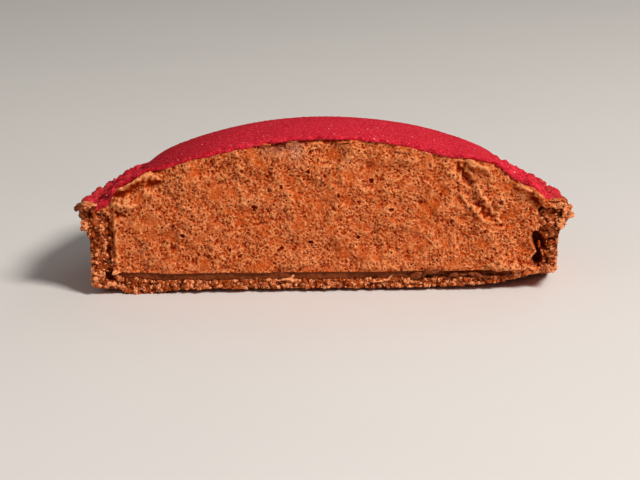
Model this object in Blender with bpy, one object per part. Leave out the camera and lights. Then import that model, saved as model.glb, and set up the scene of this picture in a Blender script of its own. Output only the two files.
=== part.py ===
"""Cut half of a small chocolate tart, standing on its pastry base.

The tart was round and has been cut upright a little in front of its axis, so rather more than
half of it is left. The frame is in metres with +Z up, the origin on the tart's own axis at the
underside, and the cut face turned to -Y.
"""
import math

import bmesh
import bpy
from mathutils import Matrix, Vector, noise

MM = 0.001

# Driving sizes of the whole tart
BASE_RADIUS = 44.4 * MM
LIP_RADIUS = 46.9 * MM
WALL_HEIGHT = 16.3 * MM
WALL = 4.1 * MM
BASE_THICKNESS = 2.4 * MM
GANACHE_THICKNESS = 1.3 * MM
TART_HEIGHT = 30.2 * MM
DOME_CURVE = 81.0 * MM
DOME_EDGE_RADIUS = 43.3 * MM
SMOOTH_DOME_RADIUS = 35.2 * MM
SKIN = 0.5 * MM
CUT_Y = -7.8 * MM

# Clear space left between neighbouring layers
GAP = 0.3 * MM

# The groove between the smooth dome and its crumbly ring, and how the ring rounds off
GROOVE_DEPTH = 1.1 * MM
GROOVE_START = 33.0 * MM
GROOVE_END = 36.6 * MM
RING_RISE = 0.6 * MM
RING_RISE_START = 37.6 * MM
RING_RISE_END = 40.4 * MM
EDGE_DROP = 0.3 * MM
EDGE_DROP_START = 39.0 * MM
RING_GRAIN = 2.3 * MM
RING_GRAIN_HEIGHT = 0.8 * MM

# How the grains of the ring stand: a plain rise, coarse and fine grain, and the least of them all
RING_RISE_SHARE = 0.35
COARSE_GRAIN_SHARE = 0.65
FINE_GRAIN_SHARE = 0.5
LEAST_GRAIN_SHARE = -0.1

# The lip, and less so the dome, sit a little higher at the left
LIP_LEAN = 0.008
LIP_LEAN_FULL = 15.0 * MM
DOME_LEAN = 0.004
DOME_LEAN_START = 17.0 * MM
DOME_LEAN_FULL = 22.0 * MM

# How the pastry lip flares out above the plain wall
FLARE_START = 10.4 * MM
LIP_GRAIN = 2.6 * MM
LIP_GRAIN_START = 3.0 * MM
LIP_GRAIN_HEIGHT = 0.9 * MM
WALL_GRAIN_HEIGHT = 0.25 * MM
WALL_GRAIN_START = 0.2 * MM
WALL_GRAIN_FULL = 1.2 * MM
WORN_LIP = 1.5 * MM
WORN_LIP_ANGLE = math.radians(156.0)
WORN_LIP_SPREAD = math.radians(22.0)

# The underside is a little hollow along the cut, and the right corner is broken away
ARCH_HEIGHT = 0.9 * MM
ARCH_SLOPE = 0.25
ARCH_FRONT = 4.0 * MM
ARCH_BACK = 16.0 * MM
ARCH_COLUMNS = 60
ARCH_ROWS = 6
ARCH_LUMP_HEIGHT = 0.3 * MM
ARCH_LUMP = 3.5 * MM
CORNER_HEIGHT = 2.5 * MM
CORNER_START = 30.0 * MM
CORNER_END = 39.0 * MM
CORNER_SLOPE = 0.08
FOOT_X = -35.5 * MM
FOOT_WIDTH = 3.2 * MM
FOOT_DROP = 1.6

# Lumps of the faces that the cut leaves: height in millimetres, size and shift of each layer
PASTRY_LUMPS = ((0.55, 3.0 * MM, 4.1), (0.35, 1.6 * MM, 9.3))
MOUSSE_LUMPS = ((0.5, 8.0 * MM, 5.5), (0.45, 3.2 * MM, 1.9))
SKIN_LUMPS = ((0.35, 5.0 * MM, 7.7),)
GANACHE_LUMP = 2.8 * MM
GANACHE_LUMP_SHIFT = 2.7
GANACHE_SET_BACK = 0.15
GANACHE_LUMP_HEIGHT = 0.12

# The ganache is whole at the left and broken to the right of these places
GANACHE_WHOLE_END = 14.0 * MM
GANACHE_BROKEN_START = 20.0 * MM
GANACHE_BROKEN_BACK = 0.7
GANACHE_BROKEN_LUMP = 0.5

# The lip has crumbled away at both ends of the cut
CRUMBLED_LIP = 1.8
CRUMBLED_LIP_X = (42.5 * MM, 46.0 * MM)
CRUMBLED_LIP_Z = (12.0 * MM, 16.0 * MM)

# Ridges and hollows on the cut, in millimetres: height, the two ends (x, z) and the width
PASTRY_MARKS = {
    "right wall set back": (-1.3, (41.5, 5.6), (41.5, 9.6), 2.2),
    "left clump": (0.7, (-42.5, 2.2), (-42.3, 4.6), 2.2),
    "left pit": (-1.2, (-40.6, 3.2), (-39.0, 3.0), 1.0),
    "flare clump": (0.8, (-45.0, 13.4), (-43.6, 12.2), 1.5),
}
MOUSSE_MARKS = {
    "smooth ledge": (-0.8, (-38.0, 19.4), (-31.5, 22.0), 1.9),
    "ledge edge": (0.7, (-37.5, 21.2), (-34.6, 22.8), 0.9),
    "crevice": (-1.8, (23.8, 24.4), (26.6, 20.6), 1.5),
    "crest over the crevice": (1.0, (26.8, 25.2), (31.0, 23.8), 1.1),
    "slanting ridge": (0.9, (28.5, 19.8), (32.8, 13.4), 0.9),
    "second slanting ridge": (0.8, (30.6, 21.0), (34.0, 15.8), 0.8),
    "curl": (1.1, (36.0, 19.8), (41.6, 17.4), 1.0),
    "hollow under the curl": (-0.9, (36.4, 17.4), (40.5, 15.4), 1.4),
    "low lump": (0.7, (31.4, 5.4), (34.6, 4.8), 1.4),
    "corner lump": (0.9, (35.8, 5.2), (38.6, 5.0), 1.3),
}

# The hollow between the mousse and the right wall: half sizes, centre and tilt
VOID_HALF_SIZE = (1.7 * MM, 4.0 * MM, 3.5 * MM)
VOID_CENTRE = (40.3 * MM, CUT_Y, 7.9 * MM)
VOID_TILT = math.radians(-8.0)
VOID_UNEVEN = 0.12
VOID_LUMPS = 1.7

# Faces round a full turn
COARSE_TURN = 96
FINE_TURN = 144

# Rings of faces on the dome: its outer side, and the side where skin and mousse meet
OVER_SMOOTH_STEPS = 5
OVER_RING_STEPS = 7
UNDER_SMOOTH_STEPS = 3
UNDER_RING_STEPS = 5

# Size of the blocks that make the cut
BLOCK_HALF_WIDTH = 52.0 * MM
BLOCK_FRONT_Y = -60.0 * MM
BLOCK_LOW_Z = -4.0 * MM
BLOCK_HIGH_Z = 34.0 * MM
BLOCK_UNDER_Z = -12.0 * MM
FACE_CELL = 1.55 * MM

MERGE = 0.000001


def clear_scene():
    """Remove whatever the file holds."""
    for item in list(bpy.data.objects):
        bpy.data.objects.remove(item, do_unlink=True)


def ease(value, start, end):
    """Smooth step from 0 at start to 1 at end."""
    t = min(max((value - start) / (end - start), 0.0), 1.0)
    return t * t * (3.0 - 2.0 * t)


def bump(value, centre, width):
    """Rounded bump of height 1."""
    return math.exp(-((value - centre) / width) ** 2)


def marks(x, z, ridges):
    """Height in millimetres of the rounded ridges and hollows at a place on the cut face."""
    point = Vector((x / MM, z / MM))
    total = 0.0
    for height, start, end, width in ridges.values():
        first = Vector(start)
        run = Vector(end) - first
        share = min(max((point - first).dot(run) / run.length_squared, 0.0), 1.0)
        total += height * bump((point - first - run * share).length, 0.0, width)
    return total


def grain(point, size, shift):
    """Smooth lumps between about -1 and 1, of the given size."""
    return noise.noise(Vector(point) / size + Vector((shift, -shift, 0.37 * shift)))


def lumps(x, z, layers):
    """Height in millimetres of the layers of lumps at a place on the cut face."""
    return sum(height * grain((x, 0.0, z), size, shift) for height, size, shift in layers)


def dome_height(radius):
    """Height of the dome's outer surface at a distance from the axis."""
    sphere = TART_HEIGHT - DOME_CURVE + math.sqrt(DOME_CURVE ** 2 - radius ** 2)
    groove = GROOVE_DEPTH * ease(radius, GROOVE_START, GROOVE_END)
    groove -= RING_RISE * ease(radius, RING_RISE_START, RING_RISE_END)
    share = max(radius - EDGE_DROP_START, 0.0) / (DOME_EDGE_RADIUS - EDGE_DROP_START)
    return sphere - groove - EDGE_DROP * share ** 2


def leaned(point):
    """Point moved up at the left and down at the right, as the lip and the dome sit."""
    lean = LIP_LEAN * ease(point.z, FLARE_START, LIP_LEAN_FULL)
    lean -= (LIP_LEAN - DOME_LEAN) * ease(point.z, DOME_LEAN_START, DOME_LEAN_FULL)
    return Vector((point.x, point.y, point.z - lean * point.x))


def dome_profile(depth, smooth_steps, ring_steps):
    """Points from the axis to the edge, at a depth under the dome's outer surface."""
    radii = [SMOOTH_DOME_RADIUS * i / smooth_steps for i in range(smooth_steps)]
    span = DOME_EDGE_RADIUS - SMOOTH_DOME_RADIUS
    radii += [SMOOTH_DOME_RADIUS + span * i / ring_steps for i in range(ring_steps + 1)]
    points = []
    for radius in radii:
        slope = (dome_height(radius + MERGE) - dome_height(max(radius - MERGE, 0.0))) / (2 * MERGE)
        if radius == 0.0:
            slope = 0.0
        scale = depth / math.hypot(1.0, slope)
        points.append((max(radius + slope * scale, 0.0), dome_height(radius) - scale))
    return points


def material(name, colour, roughness):
    """Plain surface of one colour."""
    finish = bpy.data.materials.new(name)
    finish.use_nodes = True
    shader = finish.node_tree.nodes["Principled BSDF"]
    shader.inputs["Base Color"].default_value = (*colour, 1.0)
    shader.inputs["Roughness"].default_value = roughness
    shader.inputs["Metallic"].default_value = 0.0
    return finish


def new_object(name, bm, finish=None):
    """Turn the working mesh into an object of the scene."""
    mesh = bpy.data.meshes.new(name)
    bm.to_mesh(mesh)
    bm.free()
    if finish:
        mesh.materials.append(finish)
    item = bpy.data.objects.new(name, mesh)
    bpy.context.collection.objects.link(item)
    return item


def turned(outline, segments, rough=None):
    """Closed solid from an outline of radii and heights turned about the axis."""
    bm = bmesh.new()
    points = [bm.verts.new((radius, 0.0, height)) for radius, height in outline]
    edges = [bm.edges.new(pair) for pair in zip(points, points[1:])]
    bmesh.ops.spin(bm, geom=points + edges, cent=(0.0, 0.0, 0.0), axis=(0.0, 0.0, 1.0),
                   angle=2.0 * math.pi, steps=segments, use_merge=True)
    bmesh.ops.remove_doubles(bm, verts=bm.verts, dist=MERGE)
    bmesh.ops.holes_fill(bm, edges=bm.edges, sides=0)
    bmesh.ops.recalc_face_normals(bm, faces=bm.faces)
    if rough:
        bm.normal_update()
        moves = [(vertex, vertex.normal * rough(vertex.co)) for vertex in bm.verts]
        for vertex, move in moves:
            vertex.co += move
    for vertex in bm.verts:
        vertex.co = leaned(vertex.co)
    return bm


def helper(item):
    """Mark an object as a shape that only cuts others."""
    item.hide_render = True
    item.display_type = "WIRE"
    return item


def cutting_block(name, face):
    """Block in front of the cut, whose back is the uneven face that the cut leaves."""
    columns = round(2.0 * BLOCK_HALF_WIDTH / FACE_CELL)
    rows = round((BLOCK_HIGH_Z - BLOCK_LOW_Z) / FACE_CELL)
    bm = bmesh.new()
    bmesh.ops.create_grid(bm, x_segments=columns, y_segments=rows, size=0.5)
    for vertex in bm.verts:
        x = vertex.co.x * 2.0 * BLOCK_HALF_WIDTH
        z = BLOCK_LOW_Z + (vertex.co.y + 0.5) * (BLOCK_HIGH_Z - BLOCK_LOW_Z)
        vertex.co = (x, CUT_Y - face(x, z), z)
    made = bmesh.ops.extrude_face_region(bm, geom=bm.faces[:], use_keep_orig=True)
    for part in made["geom"]:
        if isinstance(part, bmesh.types.BMVert):
            part.co.y = BLOCK_FRONT_Y
    bmesh.ops.recalc_face_normals(bm, faces=bm.faces)
    return helper(new_object(name, bm))


def cut_by(item, cutter, solver="EXACT"):
    """Take the cutter's shape away from an object."""
    step = item.modifiers.new("Cut " + cutter.name, "BOOLEAN")
    step.operation = "DIFFERENCE"
    step.solver = solver
    step.object = cutter


def linked_faces(start):
    """All faces that shared edges join to one face."""
    found = {start}
    waiting = [start]
    while waiting:
        for edge in waiting.pop().edges:
            for face in edge.link_faces:
                if face not in found:
                    found.add(face)
                    waiting.append(face)
    return found


def settle_cuts(item):
    """Apply the cuts, drop the loose scraps that they leave and remove the cutting shapes."""
    bm = bmesh.new()
    bm.from_object(item, bpy.context.evaluated_depsgraph_get())
    bodies = []
    left = set(bm.faces)
    while left:
        body = linked_faces(next(iter(left)))
        bodies.append(body)
        left -= body
    bodies.sort(key=len)
    for scrap in bodies[:-1]:
        bmesh.ops.delete(bm, geom=list(scrap), context="FACES")
    bmesh.ops.triangulate(bm, faces=bm.faces[:])
    bm.to_mesh(item.data)
    bm.free()
    cutters = [step.object for step in item.modifiers]
    item.modifiers.clear()
    for cutter in cutters:
        bpy.data.objects.remove(cutter, do_unlink=True)


def shell_face(x, z):
    """Broken pastry at the cut, with its lip crumbled away at both ends."""
    crumbled = -CRUMBLED_LIP * ease(abs(x), *CRUMBLED_LIP_X) * ease(z, *CRUMBLED_LIP_Z)
    return (lumps(x, z, PASTRY_LUMPS) + crumbled + marks(x, z, PASTRY_MARKS)) * MM


def ganache_face(x, z):
    """Clean cut at the left, broken and set back at the right."""
    broken = ease(x, GANACHE_WHOLE_END, GANACHE_BROKEN_START)
    uneven = GANACHE_LUMP_HEIGHT + GANACHE_BROKEN_LUMP * broken
    set_back = GANACHE_SET_BACK + GANACHE_BROKEN_BACK * broken
    return (uneven * grain((x, 0.0, z), GANACHE_LUMP, GANACHE_LUMP_SHIFT) - set_back) * MM


def mousse_face(x, z):
    """Torn mousse: gentle waves, smooth ledges at the top left, ridges and a crevice at the right."""
    return (lumps(x, z, MOUSSE_LUMPS) + marks(x, z, MOUSSE_MARKS)) * MM


def skin_face(x, z):
    """Thin skin, cut with a slightly wavy edge."""
    return lumps(x, z, SKIN_LUMPS) * MM


def shell_rough(point):
    """Crumbs on the outside of the wall and, much larger, on the lip."""
    radius = math.hypot(point.x, point.y)
    outside = ease(radius, BASE_RADIUS - 0.8 * MM, BASE_RADIUS - 0.2 * MM)
    outside *= ease(point.z, WALL_GRAIN_START, WALL_GRAIN_FULL)
    lip = ease(point.z, FLARE_START, FLARE_START + LIP_GRAIN_START)
    height = WALL_GRAIN_HEIGHT + (LIP_GRAIN_HEIGHT - WALL_GRAIN_HEIGHT) * lip
    worn = WORN_LIP * lip * bump(math.atan2(point.y, point.x), WORN_LIP_ANGLE, WORN_LIP_SPREAD)
    return outside * (height * grain(point, LIP_GRAIN, 3.3) - worn)


def skin_rough(point):
    """Grains that stand up out of the ring round the smooth dome."""
    radius = math.hypot(point.x, point.y)
    surface = dome_height(min(radius, DOME_EDGE_RADIUS))
    outer_side = ease(point.z, surface - 0.5 * SKIN, surface - 0.2 * SKIN)
    ring = ease(radius, SMOOTH_DOME_RADIUS - 0.6 * MM, SMOOTH_DOME_RADIUS + 1.2 * MM)
    ring *= 1.0 - ease(radius, DOME_EDGE_RADIUS - 0.6 * MM, DOME_EDGE_RADIUS)
    stand = RING_RISE_SHARE + COARSE_GRAIN_SHARE * grain(point, RING_GRAIN, 6.1)
    stand += FINE_GRAIN_SHARE * grain(point, 0.5 * RING_GRAIN, 8.4)
    return RING_GRAIN_HEIGHT * outer_side * ring * max(stand, LEAST_GRAIN_SHARE)


def worn_underside():
    """Shape under the tart that hollows the front of the base and takes its right corner."""
    front = CUT_Y - ARCH_FRONT
    depth = ARCH_FRONT + ARCH_BACK
    bm = bmesh.new()
    bmesh.ops.create_grid(bm, x_segments=ARCH_COLUMNS, y_segments=ARCH_ROWS, size=0.5)
    for vertex in bm.verts:
        x = vertex.co.x * 2.0 * BLOCK_HALF_WIDTH
        y = front + (vertex.co.y + 0.5) * depth
        corner = ease(x, CORNER_START, CORNER_END)
        foot = bump(x, FOOT_X, FOOT_WIDTH)
        rise = ARCH_HEIGHT * (1.0 - FOOT_DROP * foot) + CORNER_HEIGHT * corner
        slope = ARCH_SLOPE + CORNER_SLOPE * corner
        uneven = ARCH_LUMP_HEIGHT * grain((x, y, 0.0), ARCH_LUMP, 2.2)
        vertex.co = (x, y, rise + uneven - slope * (y - CUT_Y))
    made = bmesh.ops.extrude_face_region(bm, geom=bm.faces[:], use_keep_orig=True)
    for part in made["geom"]:
        if isinstance(part, bmesh.types.BMVert):
            part.co.z = BLOCK_UNDER_Z
    bmesh.ops.recalc_face_normals(bm, faces=bm.faces)
    return helper(new_object("cutter_underside", bm))


def make_pastry_shell():
    """Base, wall and flared crumbly lip in one piece."""
    inner = BASE_RADIUS - WALL
    top = WALL_HEIGHT
    outline = [
        (BASE_RADIUS - 1.1 * MM, 0.0),
        (BASE_RADIUS - 0.3 * MM, 0.5 * MM),
        (BASE_RADIUS, 1.6 * MM),
        (BASE_RADIUS, 3.6 * MM),
        (BASE_RADIUS, 5.7 * MM),
        (BASE_RADIUS, 7.8 * MM),
        (BASE_RADIUS + 0.1 * MM, FLARE_START),
        (BASE_RADIUS + 0.6 * MM, FLARE_START + 1.3 * MM),
        (LIP_RADIUS - 1.0 * MM, FLARE_START + 2.4 * MM),
        (LIP_RADIUS - 0.1 * MM, FLARE_START + 3.6 * MM),
        (LIP_RADIUS, top - 1.1 * MM),
        (LIP_RADIUS - 0.3 * MM, top - 0.4 * MM),
        (LIP_RADIUS - 1.0 * MM, top),
        (LIP_RADIUS - 2.4 * MM, top + 0.1 * MM),
        (LIP_RADIUS - 4.2 * MM, top - 0.2 * MM),
        (inner + 1.2 * MM, top - 0.6 * MM),
        (inner + 0.2 * MM, top - 1.5 * MM),
        (inner, FLARE_START),
        (inner, 6.0 * MM),
        (inner, BASE_THICKNESS + 0.9 * MM),
        (inner - 0.8 * MM, BASE_THICKNESS),
    ]
    bm = turned(outline, FINE_TURN, shell_rough)
    item = new_object("pastry_shell", bm, material("pastry", (0.25, 0.085, 0.03), 0.85))
    # The exact solver leaves an open edge where these lumpy shapes meet
    cut_by(item, cutting_block("cutter_pastry", shell_face), "MANIFOLD")
    cut_by(item, worn_underside(), "MANIFOLD")
    return item


def make_ganache():
    """Thin dark layer over the base."""
    low = BASE_THICKNESS + GAP
    high = low + GANACHE_THICKNESS
    radius = BASE_RADIUS - WALL - GAP
    outline = [
        (radius - 1.0 * MM, low),
        (radius - 0.1 * MM, low + 0.9 * MM),
        (radius, high),
    ]
    bm = turned(outline, COARSE_TURN)
    item = new_object("ganache_layer", bm, material("ganache", (0.07, 0.018, 0.006), 0.45))
    cut_by(item, cutting_block("cutter_ganache", ganache_face))
    return item


def wall_void():
    """Hollow that the mousse leaves against the right wall, open at the cut."""
    bm = bmesh.new()
    bmesh.ops.create_icosphere(bm, subdivisions=3, radius=1.0)
    for vertex in bm.verts:
        vertex.co *= 1.0 + VOID_UNEVEN * noise.noise(vertex.co * VOID_LUMPS)
    size = Matrix.Diagonal((*VOID_HALF_SIZE, 1.0))
    place = Matrix.Translation(VOID_CENTRE)
    tilt = Matrix.Rotation(VOID_TILT, 4, "Y")
    bmesh.ops.transform(bm, matrix=place @ tilt @ size, verts=bm.verts)
    return helper(new_object("cutter_void", bm))


def make_mousse():
    """Mousse from the ganache up to the underside of the skin."""
    low = BASE_THICKNESS + GANACHE_THICKNESS + 2.0 * GAP
    inner = BASE_RADIUS - WALL - GAP
    over_wall = WALL_HEIGHT + GAP
    dome = dome_profile(SKIN + GAP, UNDER_SMOOTH_STEPS, UNDER_RING_STEPS)
    outline = [
        (inner, low),
        (inner, FLARE_START),
        (inner, WALL_HEIGHT - 1.4 * MM),
        (inner + 1.0 * MM, over_wall - 0.2 * MM),
    ]
    outline += [point for point in reversed(dome) if point[1] > over_wall + 0.3 * MM]
    bm = turned(outline, COARSE_TURN)
    item = new_object("mousse_filling", bm, material("mousse", (0.45, 0.13, 0.045), 0.75))
    # The exact solver leaves an open edge in this uneven face
    cut_by(item, cutting_block("cutter_mousse", mousse_face), "MANIFOLD")
    cut_by(item, wall_void(), "MANIFOLD")
    return item


def make_skin():
    """Sprayed skin over the dome, with the grains of its ring."""
    under = dome_profile(SKIN, UNDER_SMOOTH_STEPS, UNDER_RING_STEPS)
    over = dome_profile(0.0, OVER_SMOOTH_STEPS, OVER_RING_STEPS)
    bm = turned(under + list(reversed(over)), FINE_TURN, skin_rough)
    item = new_object("velvet_skin", bm, material("red_velvet", (0.52, 0.012, 0.022), 0.7))
    cut_by(item, cutting_block("cutter_skin", skin_face))
    return item


def main():
    """Build every layer of the tart, from the outside in."""
    clear_scene()
    for item in (make_pastry_shell(), make_ganache(), make_mousse(), make_skin()):
        settle_cuts(item)
        item.data.shade_smooth()
        item.data.set_sharp_from_angle(angle=math.radians(40.0))


main()
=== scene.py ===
"""Looks of a cut chocolate tart: crumbly pastry, ganache, torn mousse and a red velvet dome.

Shapes are worked out in millimetres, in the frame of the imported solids, and become metres when a
mesh is made. The cut face looks along -Y and every piece replaces, or lies on, one of the solids.
"""

import logging
import math
from dataclasses import dataclass
from enum import Enum
from typing import Callable, Sequence

import bmesh
import bpy
import numpy as np
from mathutils import Matrix, Vector


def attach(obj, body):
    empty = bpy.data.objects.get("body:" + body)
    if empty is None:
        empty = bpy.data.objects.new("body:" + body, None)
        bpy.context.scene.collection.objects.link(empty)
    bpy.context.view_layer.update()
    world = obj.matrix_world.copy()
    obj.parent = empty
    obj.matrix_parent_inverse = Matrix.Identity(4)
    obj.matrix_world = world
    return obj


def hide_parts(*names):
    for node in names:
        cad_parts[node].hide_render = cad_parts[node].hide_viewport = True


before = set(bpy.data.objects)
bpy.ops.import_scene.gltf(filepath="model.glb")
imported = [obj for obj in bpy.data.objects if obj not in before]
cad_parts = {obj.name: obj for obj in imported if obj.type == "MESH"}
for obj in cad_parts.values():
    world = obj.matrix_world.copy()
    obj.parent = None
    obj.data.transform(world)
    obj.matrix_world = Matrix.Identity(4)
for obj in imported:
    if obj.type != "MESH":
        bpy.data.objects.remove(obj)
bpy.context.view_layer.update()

MM = 0.001
BODY = "root"

# Points nearer than this, in millimetres, are one point.
WELD = 1e-4
# Faces that never show span this many steps of their grid.
HIDDEN_STEP = 6
# Rim of a pit: how far it reaches and where it is highest, in radii, its height and its width.
RIM_REACH = 1.6
RIM_PLACE = 1.15
RIM_HEIGHT = 0.4
RIM_WIDTH = 0.2
# Size of the lumps, in millimetres, by which the outlines of marks wander.
WANDER_SIZE = 1.6

Array = np.ndarray
Pair = tuple[float, float]
Triple = tuple[float, float, float]
Colour = tuple[float, float, float]

# Tint of the light that every finish throws back.
WARM_SHINE: Colour = (1.0, 0.62, 0.42)

log = logging.getLogger("tart")


def ease(value: Array, start: float, end: float) -> Array:
    """Smooth step from 0 at start to 1 at end."""
    t = np.clip((np.asarray(value, float) - start) / (end - start), 0.0, 1.0)
    return t * t * (3.0 - 2.0 * t)


def bump(value: Array, centre: float, width: float) -> Array:
    """Rounded bump of height 1 at a centre."""
    return np.exp(-((np.asarray(value, float) - centre) / width) ** 2)


def spread(start: float, end: float, count: int) -> Array:
    """Evenly spaced values, both ends among them."""
    return np.linspace(start, end, count + 1)


def trace(line: Sequence[Pair], value: Array) -> Array:
    """Height at places of a line through points, each given as a place and a height."""
    return np.interp(value, *np.transpose(line))


@dataclass(frozen=True)
class Rise:
    """Smooth slope of a height between two places, in millimetres."""

    height: float
    start: float
    end: float

    def up(self, value: Array) -> Array:
        """Height at places, from none before the start to all past the end."""
        return self.height * ease(value, self.start, self.end)

    def down(self, value: Array) -> Array:
        """Height at places, from all before the start to none past the end."""
        return self.height * (1.0 - ease(value, self.start, self.end))


@dataclass(frozen=True)
class Hump:
    """Rounded hump of a height and a width at a centre, in millimetres."""

    height: float
    centre: float
    width: float

    def at(self, value: Array) -> Array:
        """Height at places."""
        return self.height * bump(value, self.centre, self.width)


@dataclass(frozen=True)
class Grade:
    """Pits or grains of one grade: spacing and radii in millimetres, share that is kept, and lift."""

    spacing: float
    smallest: float
    largest: float
    share: float
    lift: float = 1.0


@dataclass(frozen=True)
class Mark:
    """One rounded ridge or hollow on a cut face, in millimetres."""

    height: float
    start: Pair
    end: Pair
    width: float

    def over(self, a: Array, b: Array) -> Array:
        """Height of the mark at places on the face.

        Args:
            a: First coordinates of the places.
            b: Second coordinates of the places.

        Returns:
            The height there, in millimetres.
        """
        run = np.subtract(self.end, self.start)
        share = ((a - self.start[0]) * run[0] + (b - self.start[1]) * run[1]) / max(run @ run, 1e-9)
        share = np.clip(share, 0.0, 1.0)
        away = np.hypot(a - self.start[0] - share * run[0], b - self.start[1] - share * run[1])
        return self.height * np.exp(-(away / self.width) ** 2)


class Relief:
    """Height field over a flat area, in millimetres, into which lumps, pits and grains are worked."""

    def __init__(self, low: Pair, high: Pair, cell: float, seed: int) -> None:
        """Lay out an even field.

        Args:
            low: Lowest corner of the area.
            high: Highest corner of the area.
            cell: Distance between the field's points.
            seed: Seed of every random draw in this field.
        """
        self.low = low
        self.cell = cell
        self.draw = np.random.default_rng(seed)
        axes = [np.arange(start, end + cell, cell) for start, end in zip(low, high)]
        self.a, self.b = np.meshgrid(*axes, indexing="ij")
        self.ground = np.zeros(self.a.shape)
        self.pits = np.zeros(self.a.shape)
        self.rims = np.zeros(self.a.shape)
        self.calm = np.zeros(self.a.shape)
        self.grains = np.zeros(self.a.shape)
        self.tint = np.zeros(self.a.shape)

    def waves(self) -> Array:
        """Waves in a millimetre of each term of the field's transform."""
        along = np.fft.fftfreq(self.a.shape[0], self.cell)[:, None]
        return np.hypot(along, np.fft.rfftfreq(self.a.shape[1], self.cell)[None, :])

    def noise(self, size: float) -> Array:
        """Random lumps of about one size over the whole field.

        Args:
            size: Distance from one lump to the next.

        Returns:
            An array of the field's shape, with a mean of 0 and a deviation of 1.
        """
        white = np.fft.rfft2(self.draw.standard_normal(self.a.shape))
        turns = self.waves() * size
        lumps = np.fft.irfft2(white * turns * np.exp(-turns ** 2), s=self.a.shape)
        return (lumps - lumps.mean()) / lumps.std()

    def lump(self, size: float, height: float, share: Array | float = 1.0) -> None:
        """Raise and lower the ground in lumps of one size, by a share of the height at each place."""
        self.ground += height * share * self.noise(size)

    def work(self, marks: Sequence[Mark], wander: float) -> Array:
        """Heights of marks over the whole field, their outlines wandering by chance.

        Args:
            marks: The marks.
            wander: How far the outlines wander, in millimetres.

        Returns:
            An array of the field's shape.
        """
        a = self.a + wander * self.noise(WANDER_SIZE)
        b = self.b + wander * self.noise(WANDER_SIZE)
        return sum((mark.over(a, b) for mark in marks), np.zeros(self.a.shape))

    def soften(self, layer: Array, size: float) -> Array:
        """A layer with whatever is smaller than one size smoothed away."""
        keep = np.exp(-0.5 * (math.pi * size * self.waves()) ** 2)
        return np.fft.irfft2(np.fft.rfft2(layer) * keep, s=layer.shape)

    def scatter(self, spacing: float) -> Array:
        """Places over the whole field, in staggered rows, each moved a little by chance.

        Args:
            spacing: Distance from one place to the next, about.

        Returns:
            The places, one row each.
        """
        first = np.arange(self.a[0, 0], self.a[-1, 0], spacing)
        second = np.arange(self.b[0, 0], self.b[0, -1], spacing)
        places = np.stack(np.meshgrid(first, second, indexing="ij"), -1)
        places[:, ::2, 0] += 0.5 * spacing
        places = places.reshape(-1, 2)
        return places + self.draw.uniform(-0.5, 0.5, places.shape) * spacing

    def stamp(self, places: Array, radii: Array, depths: Array, *, raised: bool,
              turns: Array | None = None, stretches: Array | None = None,
              tints: Array | None = None) -> None:
        """Press round or oval pits into the field, or set grains on it.

        Args:
            places: Centres, one row each.
            radii: Radius of each.
            depths: Depth or height of each.
            raised: Whether they are grains rather than pits.
            turns: Direction of each oval's long side, in radians.
            stretches: How much longer each is along that side.
            tints: Shade of each grain, from 0 to 1.
        """
        count = len(places)
        turns = np.zeros(count) if turns is None else turns
        stretches = np.ones(count) if stretches is None else stretches
        tints = self.draw.uniform(0.0, 1.0, count) if tints is None else tints
        layer = self.grains if raised else self.pits
        for place, radius, depth, turn, stretch, tint in zip(
                places, radii, depths, turns, stretches, tints):
            reach = radius * stretch * (1.0 if raised else RIM_REACH)
            first = np.maximum(((place - reach - self.low) / self.cell).astype(int), 0)
            last = np.maximum(((place + reach - self.low) / self.cell).astype(int) + 2, 0)
            window = (slice(first[0], last[0]), slice(first[1], last[1]))
            a = self.a[window] - place[0]
            b = self.b[window] - place[1]
            if not a.size:
                continue
            along = (a * math.cos(turn) + b * math.sin(turn)) / stretch
            across = b * math.cos(turn) - a * math.sin(turn)
            away = (along ** 2 + across ** 2) / radius ** 2
            form = depth * np.sqrt(np.clip(1.0 - away, 0.0, 1.0))
            if raised:
                shown = form > layer[window]
                self.tint[window][shown] = tint
                layer[window] = np.maximum(layer[window], form)
            else:
                layer[window] = np.minimum(layer[window], -form)
                rim = RIM_HEIGHT * depth * bump(np.sqrt(away), RIM_PLACE, RIM_WIDTH)
                self.rims[window] = np.maximum(self.rims[window], rim)

    def read(self, layer: Array, a: Array, b: Array) -> Array:
        """A layer's value at places, worked out between its points.

        Args:
            layer: Any array of the field's shape.
            a: First coordinates of the places.
            b: Second coordinates of the places.

        Returns:
            The layer's value at each place.
        """
        i = np.clip((a - self.low[0]) / self.cell, 0.0, layer.shape[0] - 1.001)
        j = np.clip((b - self.low[1]) / self.cell, 0.0, layer.shape[1] - 1.001)
        i0 = i.astype(int)
        j0 = j.astype(int)
        di = i - i0
        dj = j - j0
        near = layer[i0, j0] * (1.0 - di) + layer[i0 + 1, j0] * di
        far = layer[i0, j0 + 1] * (1.0 - di) + layer[i0 + 1, j0 + 1] * di
        return near * (1.0 - dj) + far * dj

    def height(self, a: Array, b: Array) -> Array:
        """Height of the worked field at places."""
        return self.read(self.ground + self.pits + self.grains, a, b)


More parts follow.
